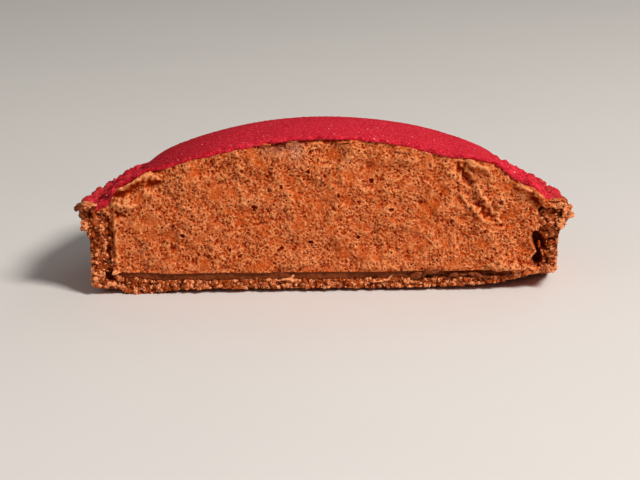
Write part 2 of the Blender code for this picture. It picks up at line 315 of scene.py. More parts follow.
class Solid:
    """Closed surface of four-sided faces, in millimetres, with values kept for its finish."""

    def __init__(self, sides: Sequence[Array], hidden: Sequence[Array] = ()) -> None:
        """Join side grids whose edges meet into one surface.

        Args:
            sides: Grids of points, each of shape (rows, columns, 3).
            hidden: Grids of sides that never show, which get large faces.
        """
        points = []
        quads = []
        large = []
        start = 0
        for number, side in enumerate([*sides, *hidden]):
            rows, columns = side.shape[:2]
            index = start + np.arange(rows * columns).reshape(rows, columns)
            if number < len(sides):
                corners = (index[:-1, :-1], index[1:, :-1], index[1:, 1:], index[:-1, 1:])
                quads.append(np.stack(corners, -1).reshape(-1, 4))
            else:
                large += large_faces(index)
            points.append(side.reshape(-1, 3))
            start += rows * columns
        joined = np.concatenate(points)
        keys = np.round(joined / WELD).astype(np.int64)
        _, first, index = np.unique(keys, axis=0, return_index=True, return_inverse=True)
        index = index.reshape(-1)
        self.points = joined[first]
        self.quads = index[np.concatenate(quads)]
        self.large = [index[face].tolist() for face in large]
        self.values: dict[str, Array] = {}

    @property
    def x(self) -> Array:
        """First coordinates of the points."""
        return self.points[:, 0]

    @property
    def y(self) -> Array:
        """Second coordinates of the points."""
        return self.points[:, 1]

    @property
    def z(self) -> Array:
        """Third coordinates of the points."""
        return self.points[:, 2]

    def normals(self) -> Array:
        """Normals at the points, out of the solid where the sides were given outwards.

        Returns:
            One unit vector for each point.
        """
        corner = self.points[self.quads]
        face = np.cross(corner[:, 2] - corner[:, 0], corner[:, 3] - corner[:, 1])
        total = np.stack([
            np.bincount(self.quads.ravel(), np.repeat(face[:, axis], 4), len(self.points))
            for axis in range(3)], -1)
        return total / np.maximum(np.linalg.norm(total, axis=1), 1e-12)[:, None]

    def push_out(self, amount: Array) -> None:
        """Move each point along its normal."""
        self.points = self.points + self.normals() * amount[:, None]

    def piece(self, name: str) -> bpy.types.Object:
        """Make the object, in metres.

        Args:
            name: Name of the piece.

        Returns:
            The new object, with each kept value as a point attribute.
        """
        ring = np.roll(self.quads, -1, axis=1)
        whole = (self.quads != ring).all(axis=1)
        faces = self.quads[whole].tolist()
        for face in [*self.quads[~whole].tolist(), *self.large]:
            corners = list(dict.fromkeys(face))
            if len(corners) > 2:
                faces.append(corners)
        return closed_piece(name, self.points, faces, self.values)


def large_faces(index: Array) -> list[list[int]]:
    """Faces over a grid that use few of its inner points, and every point of its border.

    Args:
        index: Number of each point of the grid.

    Returns:
        The corners of each face.
    """
    last_row = index.shape[0] - 1
    last_column = index.shape[1] - 1
    row_cuts = [*range(0, last_row, HIDDEN_STEP), last_row]
    column_cuts = [*range(0, last_column, HIDDEN_STEP), last_column]
    faces = []
    for top, bottom in zip(row_cuts, row_cuts[1:]):
        for left, right in zip(column_cuts, column_cuts[1:]):
            down = range(top, bottom) if left == 0 else (top,)
            across = range(left, right) if bottom == last_row else (left,)
            up = range(bottom, top, -1) if right == last_column else (bottom,)
            back = range(right, left, -1) if top == 0 else (right,)
            corners = [(row, left) for row in down] + [(bottom, column) for column in across]
            corners += [(row, right) for row in up] + [(top, column) for column in back]
            faces.append([index[corner] for corner in corners])
    return faces


def closed_piece(name: str, points: Array, faces: list[list[int]],
                 values: dict[str, Array], smooth: bool = True) -> bpy.types.Object:
    """Object of a closed surface, its faces turned outwards and without loose points.

    Args:
        name: Name of the piece.
        points: Its points, in millimetres.
        faces: Corners of each face.
        values: Values kept at the points, by name.
        smooth: Whether it is shaded smooth.

    Returns:
        The new object, linked into the scene.
    """
    mesh = bpy.data.meshes.new(name)
    mesh.from_pydata((points * MM).tolist(), [], faces)
    for label, kept in values.items():
        mesh.attributes.new(label, "FLOAT", "POINT").data.foreach_set("value", kept)
    work = bmesh.new()
    work.from_mesh(mesh)
    loose = [vertex for vertex in work.verts if not vertex.link_faces]
    bmesh.ops.delete(work, geom=loose, context="VERTS")
    bmesh.ops.recalc_face_normals(work, faces=work.faces)
    work.to_mesh(mesh)
    work.free()
    if smooth:
        mesh.shade_smooth()
    item = bpy.data.objects.new(name, mesh)
    bpy.context.scene.collection.objects.link(item)
    return item


def block_sides(us: Array, vs: Array, ts: Array,
                place: Callable[[Array, Array, Array], Array], skip: str = "") -> list[Array]:
    """Six side grids of a bent block.

    Args:
        us: Values along the block's first direction.
        vs: Values along its second direction.
        ts: Values along its third direction.
        place: Point of the block for its three values.
        skip: Sides left out, by name: u0, u1, v0, v1, t0 or t1, with spaces between.

    Returns:
        One grid of points for each side, turned outwards.
    """
    axes = {"u": us, "v": vs, "t": ts}
    pairs = {"u": ("v", "t"), "v": ("t", "u"), "t": ("u", "v")}
    sides = []
    for axis, (first, second) in pairs.items():
        for end in (0, 1):
            if axis + str(end) in skip.split():
                continue
            rows, columns = (first, second) if end else (second, first)
            grid_r, grid_c = np.meshgrid(axes[rows], axes[columns], indexing="ij")
            value = {rows: grid_r, columns: grid_c, axis: np.full(grid_r.shape, axes[axis][-end])}
            sides.append(place(value["u"], value["v"], value["t"]))
    return sides


@dataclass(frozen=True)
class Shape:
    """Form of the whole tart, in millimetres.

    What lies along the cut is placed by x, with the left side's own parts by how far left they are.
    Names with behind in them hold a depth behind the cut, and the dome's groove, ring and hem a
    distance from the axis.
    """

    base_radius: float = 44.4
    lip_radius: float = 46.9
    wall_height: float = 16.3
    wall: float = 4.1
    base: float = 2.4
    height: float = 30.2
    dome_curve: float = 81.0
    dome_edge: float = 43.3
    smooth_dome: float = 35.2
    skin: float = 0.5
    cut: float = -7.8
    flare: float = 10.4

    groove_inside: Rise = Rise(1.35, 32.9, 36.6)
    groove_outside: Rise = Rise(0.95, 37.2, 39.8)
    edge_start: float = 39.0
    edge_drop: float = 0.3

    upper: Rise = Rise(1.0, flare, 15.0)
    above_lip: Rise = Rise(1.0, 17.0, 22.0)
    lip_lean: float = 0.008
    dome_lean: float = 0.004
    sag_left: Rise = Rise(1.4, 38.0, 42.5)
    sag_right: Rise = Rise(0.7, 39.5, 43.5)
    sag_behind: Rise = Rise(1.0, 0.5, 6.0)
    sag_back: Rise = Rise(1.0, 14.0, 32.0)

    crown: float = 0.3
    crown_right: Hump = Hump(0.25, 21.0, 8.0)
    shoulder_start: Rise = Rise(0.65, 23.5, 27.0)
    shoulder_end: Rise = Rise(1.0, 29.5, 33.5)
    shoulder_reach: float = 12.0
    swell_right: Hump = Hump(1.95, 35.0, 5.0)
    swell_left: Hump = Hump(2.05, -35.6, 4.0)
    swell_reach: float = 1.4
    valley_left: Rise = Rise(1.2, 38.5, 41.0)
    notch_left: Hump = Hump(0.9, -39.9, 0.9)
    valley_reach: float = 4.0
    ring_start: Rise = Rise(0.75, 37.0, 39.5)
    ring_end: Rise = Rise(1.0, 41.5, dome_edge)
    ring_behind: Rise = Rise(1.0, 2.0, 9.0)
    hem: Rise = Rise(0.6, 41.4, 43.2)
    hem_behind: Rise = Rise(1.0, 3.0, 9.0)
    flank_left: Hump = Hump(0.5, -34.2, 3.4)
    flank_behind: Rise = Rise(1.0, 0.5, 4.0)

    hang: float = 0.15
    hang_left: Hump = Hump(0.4, -16.0, 8.0)
    hang_right: Hump = Hump(0.5, 20.0, 5.5)
    hang_reach: float = 2.0

    underside: tuple[Pair, ...] = (
        (-44.2, 2.2), (-43.2, 1.6), (-41.6, 1.3), (-39.0, 1.1), (-38.2, 0.6), (-37.4, 0.0), (-33.5, 0.0),
        (-31.9, 0.2), (-29.6, 0.6), (-26.5, 0.9), (12.0, 0.7), (25.8, 0.9), (32.4, 1.5), (36.7, 2.4),
        (39.7, 3.3), (43.8, 3.5))
    hollow_slope: float = 0.25
    hollow_slope_right: Rise = Rise(0.08, 30.0, 39.0)
    push_height: float = 3.0
    push_height_ends: Rise = Rise(6.0, 34.0, 40.0)
    raised_left: Rise = Rise(0.8, -37.0, -29.0)
    raised_up: Rise = Rise(1.0, 6.0, 10.0)
    raised_behind: Rise = Rise(1.0, 2.0, 8.0)

    @property
    def inner(self) -> float:
        """Radius inside the pastry wall."""
        return self.base_radius - self.wall

    def depth(self, y: Array) -> Array:
        """Depth of places behind the cut."""
        return np.maximum(y - self.cut, 0.0)

    def near(self, y: Array, reach: float) -> Array:
        """Share that fades from 1 at the cut with the depth behind it."""
        return np.exp(-self.depth(y) / reach)

    def dome(self, radius: Array) -> Array:
        """Height of the dome's outer surface, with its groove and ring.

        Args:
            radius: Distances from the axis.

        Returns:
            The height at each distance.
        """
        sphere = self.height - self.dome_curve + np.sqrt(self.dome_curve ** 2 - radius ** 2)
        groove = self.groove_inside.up(radius) - self.groove_outside.up(radius)
        share = np.maximum(radius - self.edge_start, 0.0) / (self.dome_edge - self.edge_start)
        return sphere - groove - self.edge_drop * share ** 2

    def lean(self, x: Array, y: Array, z: Array) -> Array:
        """How far places sit lower than on a level tart: the lip is highest at the cut's left end.

        Args:
            x: First coordinates of the places.
            y: Second coordinates of the places.
            z: Heights of the places on a level tart.

        Returns:
            The drop at each place.
        """
        upper = self.upper.up(z)
        share = self.lip_lean * upper - (self.lip_lean - self.dome_lean) * self.above_lip.up(z)
        sag = self.sag_left.up(-x) + self.sag_right.up(x)
        return share * x + sag * upper * self.sag_behind.up(self.depth(y)) * self.sag_back.down(y)

    def leaned(self, x: Array, y: Array, z: Array) -> Array:
        """Points of the tart as it leans, for places on a level one."""
        return np.stack([x, y, z - self.lean(x, y, z)], -1)

    def swell(self, x: Array, y: Array) -> Array:
        """How much the dome bulges near the cut, towards both ends, and sinks behind it.

        Args:
            x: First coordinates of the places.
            y: Second coordinates of the places.

        Returns:
            The height that each place gains.
        """
        depth = self.depth(y)
        away = np.hypot(x, y)
        shoulder = self.shoulder_start.up(x) * self.shoulder_end.down(x) * self.near(y, self.shoulder_reach)
        edge = (self.swell_right.at(x) + self.swell_left.at(x)) * self.near(y, self.swell_reach)
        valley = (self.valley_left.up(-x) + self.notch_left.at(x)) * self.near(y, self.valley_reach)
        ring = self.ring_start.up(away) * self.ring_end.down(away) * self.ring_behind.up(depth)
        hem = self.hem.up(away) * self.hem_behind.up(depth)
        flank = self.flank_left.at(x) * self.flank_behind.up(depth)
        return self.crown + self.crown_right.at(x) + shoulder + edge - valley - ring - hem - flank

    def top(self, x: Array, y: Array) -> Array:
        """Height of the skin's outer surface on a level tart."""
        return self.dome(np.hypot(x, y)) + self.swell(x, y)

    def thickness(self, x: Array, y: Array) -> Array:
        """Thickness of the skin, which hangs a little lower in places along the cut."""
        hang = self.hang + self.hang_left.at(x) + self.hang_right.at(x)
        return self.skin + self.near(y, self.hang_reach) * hang

    def floor(self, x: Array, y: Array) -> Array:
        """Height of the worn underside, hollow along the cut and chipped at its right end."""
        slope = self.hollow_slope + self.hollow_slope_right.up(x)
        return np.maximum(trace(self.underside, x) - slope * self.depth(y), 0.0)

    def settled(self, x: Array, y: Array, z: Array) -> Array:
        """Heights of the pastry once the worn underside has pushed it up.

        Args:
            x: First coordinates of the places.
            y: Second coordinates of the places.
            z: Heights over an even underside.

        Returns:
            The height of each place.
        """
        pushed = np.clip(1.0 - z / (self.push_height + self.push_height_ends.up(np.abs(x))), 0.0, 1.0)
        left = self.raised_left.down(x) * np.clip(z / self.base, 0.0, 1.0)
        left *= self.raised_up.down(z) * self.raised_behind.down(self.depth(y))
        return z + self.floor(x, y) * pushed + left

    def lens(self, u: Array, t: Array, radius: Array) -> tuple[Array, Array]:
        """Place in the cut round: u runs along the cut, and t from the cut to the round side.

        Args:
            u: From -1 at the left end to 1 at the right.
            t: From 0 at the cut to 1 at the round side.
            radius: Radius of the round.

        Returns:
            The x and y of each place.
        """
        end = np.arcsin(self.cut / radius)
        angle = 0.5 * math.pi - u * (0.5 * math.pi - end)
        front = u * np.sqrt(radius ** 2 - self.cut ** 2)
        x = (1.0 - t) * front + t * radius * np.cos(angle)
        y = (1.0 - t) * self.cut + t * radius * np.sin(angle)
        return x, y


SHAPE = Shape()


class Field:
    """Output socket of a shader node, with Python's operators for its maths."""

    def __init__(self, finish: "Finish", socket: bpy.types.NodeSocket) -> None:
        """Wrap a socket of a finish's node tree."""
        self.finish = finish
        self.socket = socket

    def _math(self, operation: str, *values: "Field | float") -> "Field":
        """Math node on this socket's tree."""
        return self.finish.node("ShaderNodeMath", dict(enumerate(values)), operation=operation)

    def __add__(self, other: "Field | float") -> "Field":
        """Sum."""
        return self._math("ADD", self, other)

    __radd__ = __add__

    def __sub__(self, other: "Field | float") -> "Field":
        """Difference."""
        return self._math("SUBTRACT", self, other)

    def __rsub__(self, other: float) -> "Field":
        """Difference from a number."""
        return self._math("SUBTRACT", other, self)

    def __mul__(self, other: "Field | float") -> "Field":
        """Product."""
        return self._math("MULTIPLY", self, other)

    __rmul__ = __mul__

    def band(self, start: float, end: float) -> "Field":
        """Smooth step from 0 at start to 1 at end."""
        return self.finish.node("ShaderNodeMapRange", {"Value": self, "From Min": start, "From Max": end},
                                interpolation_type="SMOOTHSTEP", clamp=True)


class Finish:
    """Material under construction: every node comes from one method."""

    def __init__(self, name: str) -> None:
        """Start a material with its shader.

        Args:
            name: Name of the material.
        """
        self.material = bpy.data.materials.new(name)
        self.material.use_nodes = True
        self.tree = self.material.node_tree
        self.shader = self.tree.nodes["Principled BSDF"]

    def node(self, kind: str, inputs: dict[str | int, "Field | float | Colour"] | None = None,
             output: str | int = 0, **settings: str | bool | int) -> Field:
        """Add a node and link or set its inputs.

        Args:
            kind: Node type.
            inputs: Values or fields by socket name or number.
            output: Name or number of the socket that is returned.
            **settings: The node's own settings, set before its sockets.

        Returns:
            The chosen output.
        """
        made = self.tree.nodes.new(kind)
        for label, setting in settings.items():
            setattr(made, label, setting)
        for label, value in (inputs or {}).items():
            self.feed(made.inputs[label], value)
        return Field(self, made.outputs[output])

    def feed(self, socket: bpy.types.NodeSocket, value: "Field | float | Colour") -> None:
        """Link a field to a socket, or set a plain value on it.

        Args:
            socket: The socket.
            value: The field, number or colour that it gets.
        """
        if isinstance(value, Field):
            self.tree.links.new(value.socket, socket)
        elif isinstance(value, tuple) and socket.type == "RGBA":
            socket.default_value = (*value, 1.0)
        else:
            socket.default_value = value

    def place(self) -> Field:
        """Position in the part's own frame, in metres."""
        return self.node("ShaderNodeTexCoord", output="Object")

    def value(self, name: str) -> Field:
        """Value that the mesh keeps at its points."""
        return self.node("ShaderNodeAttribute", output="Fac", attribute_name=name)

    def noise(self, size: float, detail: float = 3.0, roughness: float = 0.55) -> Field:
        """Soft noise between about 0 and 1.

        Args:
            size: Size of its lumps, in millimetres.
            detail: How many finer layers it has.
            roughness: How strong the finer layers are.

        Returns:
            The noise's value.
        """
        inputs = {"Vector": self.place(), "Scale": 1.0 / (size * MM), "Detail": detail,
                  "Roughness": roughness}
        return self.node("ShaderNodeTexNoise", inputs, output="Fac")

    def cells(self, size: float) -> Field:
        """Distance to the nearest of many scattered points, as a share of their spacing."""
        inputs = {"Vector": self.place(), "Scale": 1.0 / (size * MM)}
        return self.node("ShaderNodeTexVoronoi", inputs, output="Distance")

    def coats(self, ground: Field | Colour, *coats: tuple[Field | float, Field | Colour]) -> Field:
        """Colour of a ground with coats over it.

        Args:
            ground: Colour of the ground.
            *coats: How much each coat covers, and its colour, from the lowest to the uppermost.

        Returns:
            The colour that shows.
        """
        colour = ground
        for share, coat in coats:
            colour = self.node("ShaderNodeMix", {0: share, 6: colour, 7: coat}, output=2, data_type="RGBA")
        return colour

    def surface(self, colour: Field | Colour, roughness: Field | float, height: Field | None = None,
                depth: float = 0.0, **sockets: float) -> bpy.types.Material:
        """Feed the shader.

        Args:
            colour: Base colour.
            roughness: Roughness.
            height: Fine relief between 0 and 1.
            depth: Depth of that relief, in millimetres.
            **sockets: Plain values of other sockets, with _ for a space.

        Returns:
            The finished material.
        """
        self.feed(self.shader.inputs["Base Color"], colour)
        self.feed(self.shader.inputs["Roughness"], roughness)
        self.feed(self.shader.inputs["Specular Tint"], WARM_SHINE)
        for label, value in sockets.items():
            self.shader.inputs[label.replace("_", " ")].default_value = value
        if height is not None:
            bent = self.node("ShaderNodeBump", {"Height": height, "Distance": depth * MM, "Strength": 1.0})
            self.feed(self.shader.inputs["Normal"], bent)
        return self.material


@dataclass(frozen=True)
class MousseFinish:
    """Airy milk chocolate mousse: painted light on its pale strands, ridges and rims, painted shade in its
    deep warm pits, a faint wet shine.
    """

    # The ridge colour is painted light on lit strands, proud ridges, bubble rims and glints, and also the
    # tone of random pale patches; the pit colour is painted shade in pits and hollows.
    ridge: Colour = (0.98, 0.37, 0.14)
    body: Colour = (0.61, 0.080, 0.005)
    warm: Colour = (0.53, 0.065, 0.002)
    pit_shade: Colour = (0.31, 0.018, 0.0002)
    grey: Colour = (0.36, 0.15, 0.09)
    pale: Colour = (0.95, 0.45, 0.27)
    speck_size: float = 0.37
    strand_spacing: float = 0.72
    bubble_spacing: float = 1.1
    patch_size: float = 5.0
    stain_size: float = 3.4
    cluster_size: float = 1.5
    relief: float = 0.36
    shine: float = 0.1

    def make(self) -> bpy.types.Material:
        """Build the material.

        Returns:
            The finished material.
        """
        finish = Finish("mousse_finish")
        stand = finish.value("stand")
        busy = 1.0 - 0.75 * finish.value("calm")
        specks = finish.noise(self.speck_size, 3.0, 0.8)
        strands = finish.cells(self.strand_spacing)
        bubbles = finish.cells(self.bubble_spacing)
        patches = finish.noise(self.patch_size, 4.0, 0.6).band(0.4, 0.65)
        stains = finish.noise(self.stain_size, 3.0, 0.6).band(0.45, 0.7)
        clusters = finish.noise(self.cluster_size, 2.0, 0.6).band(0.3, 0.6)
        # Masks of painted light and shade: pale strands between cells, glints and bubble rims are painted
        # light; dark specks, cell centres and bubble hollows are painted shade.
        foam = strands.band(0.35, 0.75) * specks.band(0.35, 0.65) * busy
        glints = specks.band(0.5, 0.62) * busy
        speck_shade = (1.0 - specks.band(0.37, 0.47)) * busy
        gaps = (1.0 - strands.band(0.16, 0.36)) * clusters * busy
        rims = bubbles.band(0.2, 0.25) * (1.0 - bubbles.band(0.27, 0.36)) * busy
        hollow_shade = (1.0 - bubbles.band(0.12, 0.22)) * (0.4 + 0.6 * busy)
        colour = finish.coats(
            self.body,
            (patches * 0.2, self.ridge),
            (stains * 0.6, self.warm),
            (foam * 0.9, self.ridge),
            (glints * 0.5, self.ridge),
            (speck_shade * 0.75, self.pit_shade),
            # Painted light on proud relief and painted shade in its hollows, from the stand value.
            (stand.band(0.55, 0.9) * 0.9, self.ridge),
            (1.0 - stand.band(0.05, 0.47), self.pit_shade),
            (gaps * 0.9, self.pit_shade),
            (rims * 0.5, self.ridge),
            (hollow_shade, self.pit_shade),
            (finish.value("grey") * (0.5 + specks), self.grey),
            (finish.value("pale") * specks.band(0.38, 0.6), self.pale))
        rough = 0.4 + 0.3 * specks
        height = specks + 0.9 * strands * busy + 0.8 * bubbles.band(0.1, 0.3)
        return finish.surface(colour, rough, height, self.relief, Specular_IOR_Level=self.shine)


@dataclass(frozen=True)
class VelvetFinish:
    """Sprayed red cocoa butter: matt, finely grained, with tiny glints."""

    body: Colour = (0.62, 0.015, 0.034)
    deep: Colour = (0.40, 0.005, 0.014)
    pale: Colour = (0.84, 0.075, 0.10)
    glint: Colour = (0.95, 0.50, 0.42)
    cloud_size: float = 7.0
    fine_size: float = 0.4
    glint_spacing: float = 1.9
    relief: float = 0.12
    shine: float = 0.02

    def colour(self, finish: Finish) -> Field:
        """Red of the spray, uneven as it lands, with painted shade on the dome's left side.

        Args:
            finish: The material that it is made in.

        Returns:
            The colour.
        """
        cloud = finish.noise(self.cloud_size, 3.0, 0.6).band(0.35, 0.7)
        fine = finish.noise(self.fine_size, 3.0, 0.8)
        glints = 1.0 - finish.cells(self.glint_spacing).band(0.06, 0.1)
        return finish.coats(
            self.body,
            (cloud * 0.35, self.deep),
            # Painted shade on the dome's left side.
            (finish.value("left_shade"), self.deep),
            (fine.band(0.46, 0.68) * 0.8, self.pale),
            ((1.0 - fine.band(0.32, 0.52)) * 0.8, self.deep),
            (finish.value("tint").band(0.5, 1.0) * 0.35, self.pale),
            (glints * 0.8, self.glint))

    def make(self) -> bpy.types.Material:
        """Build the material.

        Returns:
            The finished material.
        """
        finish = Finish("red_velvet_finish")
        grain = finish.noise(0.3, 3.0, 0.75) + 0.5 * finish.cells(0.5)
        rough = 0.6 + 0.3 * finish.noise(0.5, 2.0, 0.6)
        return finish.surface(self.colour(finish), rough, grain, self.relief, Specular_IOR_Level=self.shine)


@dataclass(frozen=True)
class PastryFinish:
    """Baked chocolate shortcrust: every grain has its own brown, with painted shade in the gaps between them
    and in deep recesses.
    """

    # The dark colour is painted shade in the gaps and deep recesses, and also random dark specks.
    dark: Colour = (0.10, 0.009, 0.0005)
    body: Colour = (0.41, 0.070, 0.011)
    light: Colour = (0.98, 0.39, 0.165)
    fine_size: float = 0.38
    grain_size: float = 0.3
    relief: float = 0.17
    shine: float = 0.16

    def make(self) -> bpy.types.Material:
        """Build the material.

        Returns:
            The finished material.
        """
        finish = Finish("pastry_finish")
        fine = finish.noise(self.fine_size, 3.0, 0.75)
        # Painted shade: dark colour where the stand value is low, between grains and in deep recesses.
        gaps = 1.0 - finish.value("stand").band(0.05, 0.6)
        colour = finish.coats(
            self.body,
            (finish.value("tint").band(0.35, 0.85), self.light),
            (fine.band(0.45, 0.7) * 0.5, self.body),
            ((1.0 - fine.band(0.25, 0.5)) * 0.6, self.dark),
            (gaps * 0.95, self.dark),
            (finish.value("spray"), VelvetFinish().colour(finish)))
        rough = 0.5 + 0.3 * finish.noise(0.4, 2.0, 0.6)
        grain = finish.noise(self.grain_size, 4.0, 0.7)
        return finish.surface(colour, rough, grain, self.relief, Specular_IOR_Level=self.shine)


@dataclass(frozen=True)
class GanacheFinish:
    """Smooth dark chocolate cream, drawn along the cut, half gloss."""

    body: Colour = (0.150, 0.026, 0.0045)
    pale: Colour = (0.23, 0.052, 0.015)
    cloud_size: float = 1.1
    grain_size: float = 0.5
    relief: float = 0.06
    shine: float = 0.3

    def make(self) -> bpy.types.Material:
        """Build the material.

        Returns:
            The finished material.
        """
        finish = Finish("ganache_finish")
        cloud = finish.noise(self.cloud_size, 4.0, 0.7)
        colour = finish.coats(self.body, (cloud.band(0.4, 0.7), self.pale))
        grain = finish.noise(self.grain_size, 3.0, 0.6)
        return finish.surface(colour, 0.42 + 0.25 * cloud, grain, self.relief, Specular_IOR_Level=self.shine)


class Slot(Enum):
    """Material slots of the record, with the finish of each."""

    MOUSSE = "mousse"
    VELVET = "red_velvet"
    PASTRY = "pastry"
    GANACHE = "ganache"


FINISHES = {Slot.MOUSSE: MousseFinish, Slot.VELVET: VelvetFinish, Slot.PASTRY: PastryFinish,
            Slot.GANACHE: GanacheFinish}
MADE: dict[Slot, bpy.types.Material] = {}


@dataclass
class Layer:
    """One layer of the tart: it builds its piece and dresses it."""

    node: str
    slot: Slot

    def dress(self, piece: bpy.types.Object, replaces: bool = True) -> None:
        """Give a piece its finish and tie it to the frame.

        Args:
            piece: The piece.
            replaces: Whether it stands for the layer's solid.
        """
        if self.slot not in MADE:
            MADE[self.slot] = FINISHES[self.slot]().make()
        piece.data.materials.append(MADE[self.slot])
        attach(piece, BODY)
        if replaces:
            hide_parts(self.node)
        log.info("%s: %d faces", piece.name, len(piece.data.polygons))


@dataclass
class Mousse(Layer):
    """Torn airy mousse from the ganache up to the skin."""

    node: str = "mousse_filling"
    slot: Slot = Slot.MOUSSE
    columns: int = 500
    rows: int = 162
    depth_steps: int = 9
    crowding: float = 1.8
    field_cell: float = 0.075
    area: tuple[Pair, Pair] = ((-44.0, 2.0), (44.0, 31.0))
    seed: int = 11
    lumps: tuple[Pair, ...] = ((9.0, 0.22), (3.2, 0.1))
    fine_lumps: Pair = (0.5, 0.03)
    wander: float = 0.16
    marks: tuple[Mark, ...] = (
        Mark(-0.9, (-38.6, 19.2), (-31.5, 21.6), 1.0),
        Mark(0.7, (-38.0, 20.9), (-34.4, 22.3), 0.7),
        Mark(0.5, (-34.6, 22.9), (-30.6, 22.6), 0.8),
        Mark(0.6, (-38.6, 17.6), (-36.0, 17.0), 0.8),
        Mark(-0.6, (-38.6, 15.6), (-36.8, 15.3), 0.4),
        Mark(-1.0, (25.0, 24.2), (27.2, 21.0), 0.7),
        Mark(0.7, (27.0, 25.1), (30.4, 23.6), 0.6),
        Mark(0.55, (28.5, 20.2), (32.8, 13.6), 0.4),
        Mark(0.5, (25.8, 18.6), (29.6, 13.8), 0.4),
        Mark(-0.6, (29.0, 17.0), (30.4, 14.6), 0.7),
        Mark(0.9, (36.4, 20.5), (39.3, 19.3), 0.5),
        Mark(1.2, (39.3, 19.3), (41.2, 17.6), 0.6),
        Mark(-0.6, (39.3, 17.7), (39.8, 16.8), 0.5),
        Mark(0.4, (-38.9, 6.5), (-39.0, 14.0), 0.5),
        Mark(0.8, (31.2, 5.0), (34.8, 4.4), 0.9),
        Mark(1.0, (35.8, 4.6), (39.6, 3.8), 0.9),
        Mark(-0.5, (-9.7, 28.0), (-5.5, 27.6), 0.9),
    )
    smooth: tuple[Mark, ...] = (
        Mark(1.0, (-38.6, 20.6), (-31.0, 22.6), 1.1),
        Mark(1.0, (36.0, 20.2), (39.5, 18.9), 0.9),
        Mark(1.0, (39.5, 18.9), (41.6, 16.8), 1.1),
        Mark(0.9, (-38.9, 6.5), (-39.0, 14.0), 0.5),
        Mark(0.8, (27.0, 25.1), (30.0, 24.0), 0.6),
        Mark(0.6, (-2.0, 16.0), (5.0, 22.0), 1.6),
        Mark(0.6, (16.0, 8.5), (20.0, 17.0), 1.6),
    )
    pores: tuple[Pair, ...] = (
        (-18.0, 8.3), (-15.6, 7.5), (-8.4, 8.6), (-10.1, 20.0), (-2.6, 27.0), (-2.8, 23.4), (-2.6, 9.9),
        (2.9, 18.9), (6.6, 10.8), (8.9, 21.5), (12.6, 15.7), (-7.9, 20.4), (-13.0, 16.4), (-26.5, 11.2),
        (33.4, 16.7), (24.2, 13.4))
    pores_each: int = 3
    pore_slip: float = 0.2
    pore_radii: Pair = (0.16, 0.42)
    pore_depth: float = 1.6
    pore_lengths: Pair = (1.0, 1.7)
    smooth_wander: float = 0.3
    calm_size: float = 4.5
    calm_share: Rise = Rise(0.8, 0.4, 1.6)
    bubbles: tuple[Grade, ...] = (
        Grade(1.25, 0.24, 0.38, 0.25), Grade(0.58, 0.16, 0.28, 0.8), Grade(0.4, 0.1, 0.18, 0.6))
    bubble_slip: float = 0.55
    bubble_depths: Pair = (0.35, 1.15)
    bubble_lengths: Pair = (1.0, 1.9)
    calmed: float = 0.85
    upright_left: Rise = Rise(1.0, 8.0, 22.0)
    steer_size: float = 8.0
    steer: float = 0.35
    side: tuple[Pair, ...] = (
        (0.0, SHAPE.inner + 0.2), (0.83, SHAPE.inner + 0.5), (0.93, SHAPE.inner + 1.9),
        (1.0, SHAPE.dome_edge - 0.1))
    side_rows: tuple[Pair, ...] = ((0.0, 0.0), (0.83, 0.83), (0.93, 0.94), (1.0, 1.0))
    base_gap: float = 0.1
    skin_gap: float = 0.04
    bottom: float = 4.0
    bottom_left: Rise = Rise(0.3, -40.0, -26.0)
    bottom_right: Rise = Rise(0.9, 34.0, 38.0)
    sunk: Rise = Rise(2.2, 28.5, 32.5)
    sunk_behind: Rise = Rise(1.0, 3.0, 8.0)
    gaps: tuple[Pair, ...] = (
        (-32.5, 0.0), (-31.0, 0.7), (-29.8, 0.0), (-10.5, 0.0), (-10.0, 0.9), (-7.0, 0.9), (-6.5, 0.1),
        (-4.8, 0.1), (-4.4, 1.0), (-1.1, 1.0), (-0.6, 0.2), (-0.1, 0.2), (0.2, 1.0), (2.2, 1.0), (2.6, 0.0),
        (3.8, 0.0), (4.1, 0.8), (4.7, 0.8), (5.0, 0.0))
    gap_depth: float = 1.4
    gap_below: Hump = Hump(1.0, 0.15, 0.35)
    ragged: tuple[Pair, ...] = (
        (3.8, 0.7), (4.6, 0.0), (5.2, -1.2), (6.2, -1.1), (7.5, 0.1), (8.6, -0.9), (10.0, -1.3),
        (11.2, -1.0), (12.4, 0.0))
    ragged_right: Rise = Rise(1.0, 35.5, 39.2)
    ragged_reach: float = 10.0
    relief_up: Rise = Rise(1.0, 3.6, 4.5)
    relief_reach: float = 3.0
    relief_range: float = 0.45
    soft_size: float = 1.0
    seam: Hump = Hump(0.6, -39.7, 0.4)
    seam_top: Rise = Rise(1.0, 15.5, 17.0)
    grey_along: Hump = Hump(0.45, -8.4, 3.0)
    grey_up: Hump = Hump(1.0, 27.6, 1.5)
    pale_along: Hump = Hump(0.95, -4.9, 1.1)
    pale_up: Hump = Hump(1.0, 27.3, 1.8)

